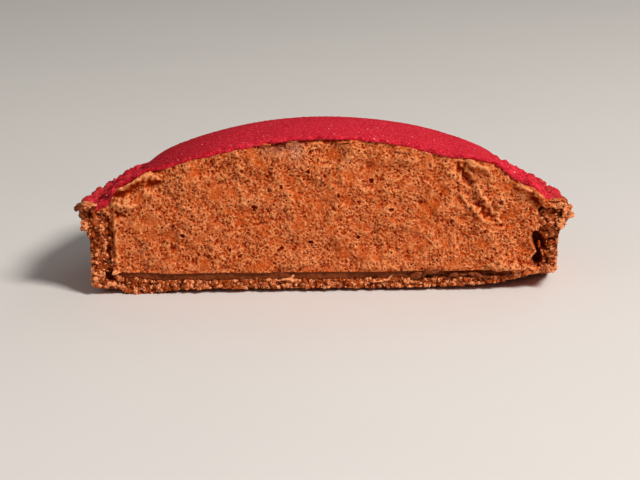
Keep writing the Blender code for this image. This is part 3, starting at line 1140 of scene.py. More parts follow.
    def face(self) -> Relief:
        """Relief of the torn face: foam cut open, with calmer patches.

        Returns:
            The worked field.
        """
        field = Relief(*self.area, self.field_cell, self.seed)
        for size, height in self.lumps:
            field.lump(size, height)
        field.ground += field.work(self.marks, self.wander)
        calm = self.calm_share.up(field.noise(self.calm_size))
        field.calm = np.clip(calm + field.work(self.smooth, self.smooth_wander), 0.0, 1.0)
        steer = field.noise(self.steer_size)
        for grade in self.bubbles:
            places = field.scatter(grade.spacing)
            places = np.repeat(places[field.draw.uniform(0.0, 1.0, len(places)) < grade.share], 2, axis=0)
            places = places + field.draw.normal(0.0, self.bubble_slip * grade.smallest, places.shape)
            count = len(places)
            radii = field.draw.uniform(grade.smallest, grade.largest, count)
            a, b = places.T
            quiet = 1.0 - self.calmed * field.read(field.calm, a, b)
            deep = radii * field.draw.uniform(*self.bubble_depths, count) * quiet
            turns = -0.25 * math.pi * (1.0 + self.upright_left.up(-a)) + self.steer * field.read(steer, a, b)
            field.stamp(places, radii, deep, raised=False, turns=turns,
                        stretches=field.draw.uniform(*self.bubble_lengths, count))
        places = np.repeat(self.pores, self.pores_each, axis=0)
        places = places + field.draw.normal(0.0, self.pore_slip, places.shape)
        radii = field.draw.uniform(*self.pore_radii, len(places))
        field.stamp(places, radii, self.pore_depth * radii, raised=False,
                    turns=field.draw.uniform(0.0, math.pi, len(places)),
                    stretches=field.draw.uniform(*self.pore_lengths, len(places)))
        field.lump(*self.fine_lumps)
        return field

    def place(self, u: Array, v: Array, t: Array) -> Array:
        """Points of the mousse, which away from the cut is sunk under the skin.

        Args:
            u: From -1 at the cut's left end to 1 at its right.
            v: From 0 at the underside to 1 at the skin.
            t: From 0 at the cut to 1 at the round side.

        Returns:
            The points, in millimetres.
        """
        x, y = SHAPE.lens(u, t, trace(self.side, v))
        low = self.bottom + self.bottom_left.down(x) - self.bottom_right.up(x)
        low = np.maximum(low, SHAPE.floor(x, y) + self.base_gap)
        high = SHAPE.top(x, y) - SHAPE.thickness(x, y) - self.skin_gap
        high = high - self.sunk.up(np.hypot(x, y)) * self.sunk_behind.up(SHAPE.depth(y))
        return SHAPE.leaned(x, y, low + trace(self.side_rows, v) * (high - low))

    def build(self) -> bpy.types.Object:
        """Make the mousse.

        Returns:
            The piece.
        """
        blocks = (spread(-1.0, 1.0, self.columns), spread(0.0, 1.0, self.rows),
                  spread(0.0, 1.0, self.depth_steps) ** self.crowding, self.place)
        solid = Solid(block_sides(*blocks, skip="t1"), block_sides(*blocks, skip="t0 u0 u1 v0 v1"))
        field = self.face()
        surface = field.ground + field.pits + field.rims
        proud = field.read(surface - field.soften(surface, self.soft_size), solid.x, solid.z)
        lowered = SHAPE.lean(solid.x, solid.y, solid.z) + SHAPE.thickness(solid.x, solid.y)
        below = SHAPE.top(solid.x, solid.y) - lowered - solid.z
        relief = field.read(surface, solid.x, solid.z) * self.relief_up.up(solid.z)
        relief -= self.gap_depth * trace(self.gaps, solid.x) * self.gap_below.at(below)
        relief -= self.seam.at(solid.x) * self.seam_top.down(solid.z)
        ragged = trace(self.ragged, solid.z) * self.ragged_right.up(solid.x)
        solid.points[:, 0] += ragged * SHAPE.near(solid.y, self.ragged_reach)
        solid.points[:, 1] -= relief * SHAPE.near(solid.y, self.relief_reach)
        # stand measures how proud the relief stands; the finish paints light where it is high and shade
        # where it is low.
        solid.values["stand"] = np.clip(0.5 + proud / self.relief_range, 0.0, 1.0)
        solid.values["calm"] = field.read(field.calm, solid.x, solid.z)
        solid.values["grey"] = self.grey_along.at(solid.x) * self.grey_up.at(solid.z)
        solid.values["pale"] = self.pale_along.at(solid.x) * self.pale_up.at(solid.z)
        piece = solid.piece("mousse")
        self.dress(piece)
        return piece


@dataclass
class Velvet(Layer):
    """Red sprayed skin over the dome, with its groove and grainy ring."""

    node: str = "velvet_skin"
    slot: Slot = Slot.VELVET
    columns: int = 560
    field_cell: float = 0.12
    area: tuple[Pair, Pair] = ((-45.0, -9.0), (45.0, 45.0))
    seed: int = 23
    layers: int = 3
    rings: tuple[tuple[float, float, int], ...] = ((0.0, 0.05, 8), (0.05, 0.76, 62), (0.76, 1.0, 40))
    grainy: Rise = Rise(1.0, SHAPE.smooth_dome - 0.6, SHAPE.smooth_dome + 1.4)
    grainy_sunk: float = 0.05
    grainy_lumps: Pair = (2.8, 0.2)
    smooth_lumps: Pair = (0.9, 0.02)
    granules: tuple[Grade, ...] = (
        Grade(0.95, 0.35, 0.75, 0.75, 0.95), Grade(0.6, 0.2, 0.42, 0.6, 0.95))
    granule_reach: Pair = (SHAPE.smooth_dome - 0.3, SHAPE.dome_edge + 0.4)
    granule_lengths: Pair = (1.0, 1.3)
    speck_spacing: float = 2.2
    speck_radii: Pair = (0.16, 0.3)
    speck_heights: Pair = (0.04, 0.13)
    deepest: float = 0.35
    edge_area: tuple[Pair, Pair] = ((-45.0, 0.0), (45.0, 32.0))
    edge_cell: float = 0.3
    edge_seed: int = 31
    edge_lumps: tuple[Pair, ...] = ((3.0, 0.14), (1.0, 0.03))
    edge_reach: float = 1.2
    # Painted shade: how much the dome's left side is darkened in its colour, rising from 12 to 30 mm left of
    # the axis.
    left_shade_rise: Rise = Rise(0.75, 12.0, 30.0)

    def top(self) -> Relief:
        """Relief of the skin, seen from above: smooth inside, granules on the groove and the ring.

        Returns:
            The worked field.
        """
        field = Relief(*self.area, self.field_cell, self.seed)
        grainy = self.grainy.up(np.hypot(field.a, field.b))
        field.lump(*self.smooth_lumps, 1.0 - grainy)
        field.lump(*self.grainy_lumps, grainy)
        field.ground -= self.grainy_sunk * grainy
        nearest, farthest = self.granule_reach
        for grade in self.granules:
            places = field.scatter(grade.spacing)
            distance = np.hypot(places[:, 0], places[:, 1])
            keep = (distance > nearest) & (distance < farthest)
            keep &= field.draw.uniform(0.0, 1.0, len(places)) < grade.share
            places = places[keep]
            radii = field.draw.uniform(grade.smallest, grade.largest, len(places))
            field.stamp(places, radii, grade.lift * radii, raised=True,
                        stretches=field.draw.uniform(*self.granule_lengths, len(places)),
                        turns=field.draw.uniform(0.0, math.pi, len(places)))
        specks = field.scatter(self.speck_spacing)
        specks = specks[np.hypot(specks[:, 0], specks[:, 1]) < SHAPE.smooth_dome]
        field.stamp(specks, field.draw.uniform(*self.speck_radii, len(specks)),
                    field.draw.uniform(*self.speck_heights, len(specks)), raised=True)
        return field

    def place(self, u: Array, v: Array, t: Array) -> Array:
        """Points of the skin.

        Args:
            u: From -1 at the cut's left end to 1 at its right.
            v: From 0 under the skin to 1 on it.
            t: From 0 at the cut to 1 at the round edge.

        Returns:
            The points, in millimetres.
        """
        x, y = SHAPE.lens(u, t, np.full(u.shape, SHAPE.dome_edge))
        return SHAPE.leaned(x, y, SHAPE.top(x, y) - SHAPE.thickness(x, y) * (1.0 - v))

    def build(self) -> bpy.types.Object:
        """Make the skin.

        Returns:
            The piece.
        """
        steps = np.concatenate([[0.0], *(spread(*ring)[1:] for ring in self.rings)])
        blocks = (spread(-1.0, 1.0, self.columns), spread(0.0, 1.0, self.layers), steps, self.place)
        solid = Solid(block_sides(*blocks, skip="v0"), block_sides(*blocks, skip="u0 u1 v1 t0 t1"))
        field = self.top()
        x, y, z = solid.x.copy(), solid.y.copy(), solid.z.copy()
        surface = SHAPE.top(x, y)
        outer = 1.0 - np.clip((surface - SHAPE.lean(x, y, surface) - z) / SHAPE.thickness(x, y), 0.0, 1.0)
        edge = Relief(*self.edge_area, self.edge_cell, self.edge_seed)
        for size, height in self.edge_lumps:
            edge.lump(size, height)
        solid.values["tint"] = field.read(field.tint, x, y) * outer
        # Painted shade on the dome's left side.
        solid.values["left_shade"] = self.left_shade_rise.up(-x)
        solid.points[:, 1] -= SHAPE.near(y, self.edge_reach) * edge.height(x, z)
        solid.points[:, 2] += outer * np.maximum(field.height(x, y), -self.deepest * SHAPE.skin)
        piece = solid.piece("velvet_dome")
        self.dress(piece)
        return piece


@dataclass
class Ganache(Layer):
    """Thin dark cream over the pastry base, whole at the left and broken at the right."""

    node: str = "ganache_layer"
    slot: Slot = Slot.GANACHE
    columns: int = 400
    rows: int = 10
    depth_steps: int = 16
    top: float = 4.05
    top_left: Rise = Rise(0.35, -40.0, -26.0)
    top_right: Rise = Rise(0.1, 5.0, 14.0)
    thinnest: float = 0.3
    wall_gap: float = 0.15
    base_gap: float = 0.05
    crowding: float = 1.5
    area: tuple[Pair, Pair] = ((-42.0, 1.0), (42.0, 6.0))
    field_cell: float = 0.1
    seed: int = 41
    set_back: float = 0.45
    lumps: tuple[Pair, ...] = ((1.2, 0.05), (4.0, 0.08))
    broken: Rise = Rise(1.0, 14.0, 19.0)
    broken_back: float = 0.5
    broken_lumps: tuple[Pair, ...] = ((1.6, 0.22), (0.6, 0.05))
    relief_reach: float = 3.0

    def place(self, u: Array, v: Array, t: Array) -> Array:
        """Points of the ganache.

        Args:
            u: From -1 at the cut's left end to 1 at its right.
            v: From 0 on the pastry to 1 under the mousse.
            t: From 0 at the cut to 1 at the wall.

        Returns:
            The points, in millimetres.
        """
        x, y = SHAPE.lens(u, t, np.full(u.shape, SHAPE.inner - self.wall_gap))
        low = SHAPE.settled(x, y, np.full(x.shape, SHAPE.base)) + self.base_gap
        high = self.top + self.top_left.down(x) - self.top_right.up(x)
        high = np.maximum(high, low + self.thinnest)
        return np.stack([x, y, low + v * (high - low)], -1)

    def build(self) -> bpy.types.Object:
        """Make the ganache.

        Returns:
            The piece.
        """
        solid = Solid(block_sides(spread(-1.0, 1.0, self.columns), spread(0.0, 1.0, self.rows),
                                  spread(0.0, 1.0, self.depth_steps) ** self.crowding, self.place))
        field = Relief(*self.area, self.field_cell, self.seed)
        broken = self.broken.up(field.a)
        field.ground -= self.set_back + self.broken_back * broken
        for size, height in self.lumps:
            field.lump(size, height)
        for size, height in self.broken_lumps:
            field.lump(size, height, broken)
        solid.points[:, 1] -= SHAPE.near(solid.y, self.relief_reach) * field.height(solid.x, solid.z)
        piece = solid.piece("ganache")
        self.dress(piece)
        return piece


@dataclass(frozen=True)
class Lump:
    """One separate crumb, flake or smear on the cut, an uneven rounded body."""

    centre: Pair
    radii: Triple
    turn: float = 0.0
    proud: float = 0.1
    crag: float = 0.15
    tint: float = 0.5


class Heap:
    """Many uneven rounded bodies joined into one mesh, in millimetres."""

    def __init__(self, detail: int, seed: int) -> None:
        """Start an empty heap.

        Args:
            detail: How finely each body is divided.
            seed: Seed of the heap's random draws.
        """
        ball = bmesh.new()
        bmesh.ops.create_icosphere(ball, subdivisions=detail, radius=1.0)
        self.ball = np.array([vertex.co[:] for vertex in ball.verts])
        self.ball_faces = np.array([[vertex.index for vertex in face.verts] for face in ball.faces])
        ball.free()
        self.draw = np.random.default_rng(seed)
        self.points: list[Array] = []
        self.stand = 1.0
        self.values: dict[str, list[Array]] = {"tint": [], "stand": [], "spray": []}

    def add(self, centres: Array, radii: Array, crag: float, tints: Array,
            turns: Array | None = None, sprays: Array | None = None) -> None:
        """Add bodies.

        Args:
            centres: Centre of each, one row each.
            radii: The three radii of each.
            crag: How far their surfaces wander, as a share of the radius.
            tints: Shade of each, from 0 to 1.
            turns: Turn of each in the plane of the cut, in radians, or None for a random tumble.
            sprays: How much red spray each carries, or None for none.
        """
        count = len(centres)
        ways = self.draw.normal(0.0, 2.2, (3, count, 3))
        starts = self.draw.uniform(0.0, 2.0 * math.pi, (3, count, 1))
        wander = np.sin(ways @ self.ball.T + starts).mean(axis=0)
        bodies = self.ball[None] * (1.0 + 1.7 * crag * wander)[:, :, None] * radii[:, None]
        if turns is None:
            axes = np.linalg.qr(self.draw.standard_normal((count, 3, 3)))[0]
        else:
            zero, one = np.zeros(count), np.ones(count)
            rows = (np.cos(turns), zero, np.sin(turns), zero, one, zero, -np.sin(turns), zero, np.cos(turns))
            axes = np.stack(rows, -1).reshape(count, 3, 3)
        self.points.append((bodies @ axes + centres[:, None]).reshape(-1, 3))
        size = len(self.ball)
        sprays = np.zeros(count) if sprays is None else sprays
        self.values["tint"].append(np.clip(np.repeat(tints, size) + 0.3 * wander.ravel(), 0.0, 1.0))
        self.values["stand"].append(np.full(count * size, self.stand))
        self.values["spray"].append(np.repeat(sprays, size))

    def lay(self, lumps: Sequence[Lump]) -> None:
        """Add named lumps against the cut.

        Args:
            lumps: The lumps.
        """
        for lump in lumps:
            centre = (lump.centre[0], SHAPE.cut - lump.proud, lump.centre[1])
            self.add(np.array([centre]), np.array([lump.radii]), lump.crag, np.array([lump.tint]),
                     turns=np.array([math.radians(lump.turn)]))

    def piece(self, name: str, smooth: bool = True) -> bpy.types.Object:
        """Make the object.

        Args:
            name: Name of the piece.
            smooth: Whether it is shaded smooth rather than in facets.

        Returns:
            The new object.
        """
        points = np.concatenate(self.points)
        starts = np.arange(len(points) // len(self.ball)) * len(self.ball)
        faces = (starts[:, None, None] + self.ball_faces[None]).reshape(-1, 3)
        values = {label: np.concatenate(parts) for label, parts in self.values.items()}
        return closed_piece(name, points, faces.tolist(), values, smooth)


@dataclass
class Bits(Layer):
    """Separate bits of one layer that lie on the cut, joined into one piece."""

    node: str
    slot: Slot
    name: str
    lumps: tuple[Lump, ...]
    stand: float = 0.5
    detail: int = 4
    seed: int = 71

    def build(self) -> bpy.types.Object:
        """Make the bits.

        Returns:
            The piece.
        """
        heap = Heap(self.detail, self.seed)
        heap.stand = self.stand
        heap.lay(self.lumps)
        piece = heap.piece(self.name)
        self.dress(piece, replaces=False)
        return piece


MOUSSE_BITS = (
    Lump((38.5, 19.7), (1.3, 0.7, 0.4), -22.0, 0.2, 0.08),
    Lump((40.3, 18.3), (1.5, 0.8, 0.5), -45.0, 0.3, 0.08),
    Lump((41.3, 17.0), (1.3, 0.7, 0.8), -40.0, 0.0, 0.1),
    Lump((42.2, 16.7), (1.1, 0.8, 0.6), -12.0, 0.2, 0.15),
    Lump((43.2, 17.6), (1.5, 0.9, 0.25), 2.0, 0.2, 0.1),
    Lump((40.5, 8.7), (0.22, 1.2, 0.75), -6.0, -1.6, 0.15),
    Lump((41.1, 7.0), (0.2, 1.2, 0.65), 14.0, -1.6, 0.15),
    Lump((38.8, 3.9), (1.4, 0.7, 0.6), 25.0, 0.2, 0.35),
    Lump((36.6, 4.3), (1.1, 0.7, 0.6), 10.0, 0.2, 0.35),
    Lump((33.0, 4.4), (1.4, 0.6, 0.5), -10.0, 0.2, 0.35),
    Lump((-10.4, 28.7), (0.9, 0.4, 0.13), -6.0, 0.2, 0.1),
    Lump((4.4, 29.0), (1.6, 0.4, 0.16), 2.0, 0.2, 0.25),
)
GANACHE_BITS = (
    Lump((17.4, 3.0), (1.2, 0.5, 0.7), 10.0, 0.0, 0.35),
    Lump((19.2, 3.7), (0.8, 0.5, 0.5), 40.0, 0.0, 0.4),
    Lump((20.8, 4.0), (1.0, 0.5, 0.4), 20.0, 0.1, 0.4),
    Lump((24.4, 3.1), (0.9, 0.4, 0.4), 0.0, 0.1, 0.4),
    Lump((28.6, 3.1), (1.1, 0.5, 0.4), -16.0, 0.0, 0.4),
    Lump((30.6, 2.7), (0.9, 0.5, 0.35), 12.0, 0.0, 0.4),
    Lump((-45.3, 17.35), (0.8, 1.1, 0.55), 24.0, 0.2, 0.3),
    Lump((-45.95, 16.95), (0.6, 0.7, 0.48), 68.0, 0.1, 0.3),
)
PASTRY_BITS = (
    Lump((-8.2, 2.5), (0.8, 0.3, 0.16), 6.0, 0.15, 0.5, 0.9),
    Lump((-7.0, 2.7), (0.7, 0.3, 0.2), 0.0, 0.2, 0.55, 1.0),
    Lump((-6.1, 3.2), (0.6, 0.3, 0.2), 48.0, 0.2, 0.5, 0.9),
    Lump((9.9, 2.1), (0.8, 0.3, 0.18), 4.0, 0.15, 0.5, 0.9),
    Lump((11.2, 2.3), (0.8, 0.3, 0.2), 8.0, 0.2, 0.55, 1.0),
    Lump((12.3, 2.9), (0.65, 0.3, 0.22), 52.0, 0.2, 0.5, 0.9),
    Lump((-43.8, 17.8), (1.2, 0.7, 0.3), -10.0, 0.25, 0.3, 0.62),
    Lump((-39.3, 4.4), (0.65, 0.5, 0.45), 20.0, 0.3, 0.3, 1.0),
    Lump((-40.2, 2.2), (0.75, 0.4, 0.45), -10.0, 0.2, 0.3, 0.7),
)
@dataclass(frozen=True)
class Clump:
    """Crumbs heaped at one place on the broken face, in millimetres."""

    centre: Pair
    spreads: Pair
    count: int
    sizes: Pair


class Part(Enum):
    """Parts of the shell on which crumbs lie."""

    PLATE = "plate"
    WALL = "wall"


@dataclass(frozen=True)
class Bed:
    """Crumbs strewn over a part of the shell, by the shares that its surface takes."""

    count: int
    part: Part
    around: Pair
    up: Pair
    across: Pair | None
    sizes: Pair


@dataclass
class Pastry(Layer):
    """Shortcrust shell: base, wall and crumbly lip, grain by grain."""

    node: str = "pastry_shell"
    slot: Slot = Slot.PASTRY
    columns: int = 500
    rows: int = 84
    base_rows: int = 15
    across: int = 22
    depth_steps: int = 14
    marks: tuple[Mark, ...] = (
        Mark(-3.0, (40.1, 5.4), (40.2, 10.2), 0.85),
        Mark(-0.8, (41.8, 5.6), (41.8, 11.2), 1.0),
        Mark(-0.7, (43.0, 15.4), (44.6, 14.2), 0.6),
        Mark(0.7, (-42.5, 2.2), (-42.3, 4.6), 1.6),
        Mark(-1.8, (-40.8, 3.8), (-40.2, 3.0), 0.8),
        Mark(-1.2, (-44.8, 15.7), (-44.0, 15.5), 0.6),
        Mark(-0.9, (-41.4, 17.2), (-40.6, 15.0), 0.7),
        Mark(-0.9, (-40.3, 5.0), (-40.1, 14.4), 0.45),
    )
    clumps: tuple[Clump, ...] = (
        Clump((-43.0, 3.3), (0.9, 2.2), 70, (0.2, 0.45)),
        Clump((-44.6, 13.5), (0.7, 0.9), 30, (0.2, 0.42)),
        Clump((-43.6, 17.4), (0.9, 0.35), 24, (0.18, 0.36)),
        Clump((43.9, 16.7), (1.2, 0.7), 44, (0.2, 0.45)),
        Clump((45.5, 15.3), (0.7, 1.1), 44, (0.2, 0.45)),
        Clump((44.3, 13.0), (0.8, 0.9), 40, (0.18, 0.4)),
        Clump((42.8, 4.2), (0.9, 0.6), 26, (0.18, 0.4)),
        Clump((-39.3, 2.0), (0.7, 0.4), 14, (0.2, 0.4)),
    )
    beds: tuple[Bed, ...] = (
        Bed(1050, Part.PLATE, (-1.0, 1.0), (0.02, 0.98), (0.0, 0.0), (0.14, 0.38)),
        Bed(330, Part.PLATE, (-1.0, 1.0), (0.02, 0.98), (0.0, 0.0), (0.10, 0.2)),
        Bed(380, Part.WALL, (-1.0, -1.0), (0.02, 0.98), (0.03, 0.97), (0.13, 0.34)),
        Bed(380, Part.WALL, (1.0, 1.0), (0.02, 0.98), (0.03, 0.97), (0.13, 0.34)),
        Bed(150, Part.WALL, (0.955, 1.0), (0.74, 1.0), None, (0.16, 0.36)),
        Bed(80, Part.WALL, (-1.0, -0.965), (0.74, 1.0), None, (0.16, 0.34)),
    )
    outer_grains: tuple[Grade, ...] = (Grade(0.9, 0.3, 0.7, 0.7, 1.0), Grade(0.55, 0.15, 0.4, 0.7, 0.8))
    broken_grains: tuple[Grade, ...] = (Grade(0.75, 0.22, 0.5, 0.6, 0.9), Grade(0.42, 0.12, 0.28, 0.6, 0.9))
    outermost: float = 0.97
    outside_area: tuple[Pair, Pair] = ((-2.0, -4.0), (168.0, 26.0))
    outside_cell: float = 0.15
    outside_seed: int = 53
    outside_back: float = 1.85
    lip_behind: float = 3.0
    lip_sunk: float = 0.3
    lip_grains: Pair = (0.16, 0.45)
    broken_area: tuple[Pair, Pair] = ((-49.0, -2.0), (49.0, 19.0))
    broken_cell: float = 0.08
    broken_seed: int = 59
    broken_back: float = 0.45
    broken_lumps: tuple[Pair, ...] = ((3.0, 0.16), (1.4, 0.14))
    broken_lengths: Pair = (1.0, 1.5)
    broken_reach: float = 2.5
    crumbled_ends: Rise = Rise(0.45, 42.5, 46.0)
    crumbled_up: Rise = Rise(1.0, 12.0, 16.0)
    wander: float = 0.25
    crumb_detail: int = 2
    crumb_seed: int = 67
    crumb_crag: float = 0.35
    crumb_lengths: Pair = (0.55, 1.3)
    crumb_sunk: Pair = (-0.2, 0.5)
    clump_width: float = 0.55
    clump_reach: float = 1.6
    clump_behind: Pair = (-0.7, 0.5)
    sheltered: float = -1.2
    lip_round: Rise = Rise(0.25, 0.9, 1.0)
    lip_tilt: Pair = (0.4, 0.6)
    lip_fold: float = 0.8
    fold_up: Rise = Rise(1.0, 14.5, 15.5)
    foot_up: Rise = Rise(1.0, 0.1, 1.0)
    outward_radius: Rise = Rise(1.0, SHAPE.base_radius - 1.0, SHAPE.base_radius - 0.3)
    outward_up: Rise = Rise(1.0, 14.6, 15.6)
    crowding: float = 1.6
    skirt: float = 0.01
    broken_tint: float = 0.8
    outside_tint: Pair = (0.15, 0.4)
    broken_stand: float = 2.2
    outside_stand: float = 0.5
    # Painted shade in recesses: between these depths below the broken face's ground, its grains lose up to
    # this share of their stand, so the finish paints them dark.
    recess_shade: Rise = Rise(0.9, 1.3, 2.8)
    bare_ground: Rise = Rise(0.85, 1.2, 1.9)
    worn_left: Hump = Hump(1.9, 14.3, 2.0)
    worn_left_end: Rise = Rise(1.0, 43.6, 45.6)
    worn_right: Hump = Hump(1.0, 13.4, 1.3)
    worn_right_end: Rise = Rise(1.0, 44.3, 46.0)
    worn_slope: float = 0.25
    worn_reach: float = 14.0
    spray_radius: float = 44.0
    spray_waves: tuple[Pair, Pair] = ((0.5, 1.7), (0.4, 3.1))
    spray_up: Rise = Rise(1.0, 13.2, 15.6)
    spray_behind: Pair = (1.6, 4.2)
    spray_late: Rise = Rise(9.0, 44.6, 46.2)
    darkest_left: float = 0.25
    darkest_right: float = 0.55

    def __post_init__(self) -> None:
        """Work out the wall's profile and both reliefs."""
        foot = SHAPE.base_radius
        lip = SHAPE.lip_radius
        top = SHAPE.wall_height
        flare = SHAPE.flare
        inner = SHAPE.inner
        self.rise = np.concatenate([spread(0.0, SHAPE.base, self.base_rows),
                                    spread(SHAPE.base, top, self.rows - self.base_rows)[1:]])
        self.outer_r = trace((
            (0.0, foot - 1.1), (0.5, foot - 0.3), (1.6, foot), (flare, foot + 0.1),
            (flare + 1.3, foot + 0.6), (flare + 2.4, lip - 1.0), (flare + 3.6, lip - 0.1),
            (top - 1.1, lip), (top - 0.4, lip - 0.3), (top, lip - 1.0)), self.rise)
        self.inner_r = trace((
            (0.0, inner), (flare, inner), (top - 1.5, inner + 0.2), (top - 0.6, inner + 1.0),
            (top, inner + 2.2)), self.rise)
        self.outside = self.outer_relief()
        self.face = self.broken_relief()

    def outer_relief(self) -> Relief:
        """Relief of the unrolled outside: the way round, and the way up the wall and over the lip.

        Returns:
            The worked field.
        """
        field = Relief(*self.outside_area, self.outside_cell, self.outside_seed)
        over = Rise(1.0, SHAPE.flare, SHAPE.flare + self.lip_behind)
        lip = over.up(field.b)
        field.ground -= self.lip_sunk * lip
        field.lump(2.6, 1.0, 0.05 + 0.12 * lip)
        field.lump(1.1, 1.0, 0.03 + 0.08 * lip)
        for grade in self.outer_grains:
            places = field.scatter(grade.spacing)
            radii = field.draw.uniform(grade.smallest, grade.largest, len(places))
            rough = self.lip_grains[0] + self.lip_grains[1] * over.up(places[:, 1])
            kept = field.draw.uniform(0.0, 1.0, len(places)) < grade.share
            field.stamp(places[kept], radii[kept], (grade.lift * rough * radii)[kept], raised=True)
        return field

    def broken_relief(self) -> Relief:
        """Relief of the broken face.

        Returns:
            The worked field.
        """
        field = Relief(*self.broken_area, self.broken_cell, self.broken_seed)
        crumbled = self.crumbled_ends.up(np.abs(field.a)) * self.crumbled_up.up(field.b)
        field.ground -= self.broken_back + crumbled
        for size, height in self.broken_lumps:
            field.lump(size, height)
        field.ground += field.work(self.marks, self.wander)
        for grade in self.broken_grains:
            places = field.scatter(grade.spacing)
            radii = field.draw.uniform(grade.smallest, grade.largest, len(places))
            kept = field.draw.uniform(0.0, 1.0, len(places)) < grade.share
            field.stamp(places[kept], radii[kept], (grade.lift * radii)[kept], raised=True,
                        stretches=field.draw.uniform(*self.broken_lengths, len(places))[kept],
                        turns=field.draw.uniform(0.0, math.pi, len(places))[kept])
        field.grains *= 1.0 - self.bare_ground.up(-field.ground)
        return field

    def wall(self, u: Array, v: Array, t: Array) -> Array:
        """Points of the wall.

        Args:
            u: From -1 at the cut's left end, round the back, to 1 at its right.
            v: From 0 at the underside to 1 on the lip.
            t: From 0 on the inside to 1 on the outside.

        Returns:
            The points, in millimetres.
        """
        row = v * self.rows
        number = np.arange(self.rows + 1)
        radius = np.interp(row, number, self.outer_r) * t + np.interp(row, number, self.inner_r) * (1.0 - t)
        z = np.interp(row, number, self.rise)
        z = z + self.lip_round.up(v) * np.sin(math.pi * t) * (self.lip_tilt[0] + self.lip_tilt[1] * t)
        end = np.arcsin(SHAPE.cut / radius)
        angle = 0.5 * math.pi - u * (0.5 * math.pi - end)
        x = radius * np.cos(angle)
        y = radius * np.sin(angle)
        return SHAPE.leaned(x, y, SHAPE.settled(x, y, z))

    def plate(self, u: Array, v: Array, t: Array) -> Array:
        """Points of the base inside the wall.

        Args:
            u: From -1 at the cut's left end to 1 at its right.
            v: From 0 at the underside to 1 under the ganache.
            t: From 0 at the cut to 1 at the wall.

        Returns:
            The points, in millimetres.
        """
        x, y = SHAPE.lens(u, t, np.full(u.shape, SHAPE.inner))
        return SHAPE.leaned(x, y, SHAPE.settled(x, y, v * SHAPE.base))

    def trim(self, points: Array) -> Array:
        """How far to the right the lip's ends are moved, where they are worn.

        Args:
            points: Places on the shell, one row each.

        Returns:
            The move of each.
        """
        x, y, z = points.T
        left = self.worn_left.at(z + self.worn_slope * SHAPE.depth(y)) * self.worn_left_end.up(-x)
        right = self.worn_right.at(z) * self.worn_right_end.up(x)
        return (left - right) * SHAPE.near(y, self.worn_reach)

    def spray(self, points: Array) -> Array:
        """Share of red spray: all of it on top of the lip, fading down its outside and at the cut.

        Args:
            points: Places on the shell, one row each.

        Returns:
            The share of each.
        """
        x, y, z = points.T
        around = self.spray_radius * np.arctan2(x, y)
        (high, slow), (low, quick) = self.spray_waves
        wander = high * np.sin(slow * around) + low * np.sin(quick * around + z)
        late = self.spray_late.up(np.hypot(x, y))
        start, end = self.spray_behind
        return self.spray_up.up(z + wander) * ease(y - SHAPE.cut + wander, start + late, end + late)

    def build(self) -> bpy.types.Object:
        """Make the shell and its crumbs.

        Returns:
            The shell.
        """
        along = spread(-1.0, 1.0, self.columns)
        rows = spread(0.0, 1.0, self.rows)
        inward = spread(0.0, 1.0, self.depth_steps) ** self.crowding
        plate = (along, spread(0.0, 1.0, self.base_rows), inward, self.plate)
        sides = block_sides(along, rows, spread(0.0, 1.0, self.across), self.wall, skip="t0")
        sides += block_sides(*plate, skip="u0 u1 v1 t1")
        hidden = block_sides(along, rows[self.base_rows:], spread(0.0, 1.0, 1), self.wall,
                             skip="u0 u1 v0 v1 t1")
        hidden += block_sides(*plate, skip="u0 u1 v0 t0 t1")
        solid = Solid(sides, hidden)
        rest = solid.points.copy()
        x, y, z = rest.T
        radius = np.hypot(x, y)
        way_round = SHAPE.base_radius * (np.arctan2(x, y) + self.outside_back)
        way_up = z + np.maximum(SHAPE.lip_radius - self.lip_fold - radius, 0.0) * self.fold_up.up(z)
        outward = np.maximum(self.outward_radius.up(radius), self.outward_up.up(z)) * self.foot_up.up(z)
        stand = self.outside.height(way_round, way_up) * outward
        solid.push_out(stand * (SHAPE.depth(y) >= self.skirt))
        near = SHAPE.near(y, self.broken_reach)
        solid.points[:, 1] -= near * self.face.height(x, z)
        solid.points[:, 0] += self.trim(rest)
        shown = near ** 4
        tint_face = self.broken_tint * self.face.read(self.face.tint, x, z)
        tint_out = self.outside.read(self.outside.tint, way_round, way_up)
        tint_out = self.outside_tint[0] + self.outside_tint[1] * tint_out
        # Painted shade: stand falls between grains and in deep recesses, where the finish paints the gaps
        # dark.
        lit = 1.0 - self.recess_shade.up(-self.face.read(self.face.ground, x, z))
        rise_face = self.broken_stand * self.face.read(self.face.grains, x, z) * lit
        rise_out = self.outside_stand + self.outside.read(self.outside.grains, way_round, way_up)
        solid.values["tint"] = shown * tint_face + (1.0 - shown) * tint_out
        solid.values["stand"] = np.clip(shown * rise_face + (1.0 - shown) * rise_out, 0.0, 1.0)
        solid.values["spray"] = self.spray(rest)
        piece = solid.piece("pastry_shell_broken")
        self.dress(piece)
        self.crumbs()
        return piece

    def crumbs(self) -> None:
        """Make the separate crumbs that stand on the broken faces and along the lip's ends."""
        heap = Heap(self.crumb_detail, self.crumb_seed)
        for bed in self.beds:
            self.strew(heap, bed)
        for clump in self.clumps:
            self.heap_up(heap, clump)
        self.dress(heap.piece("pastry_crumbs", smooth=False), replaces=False)

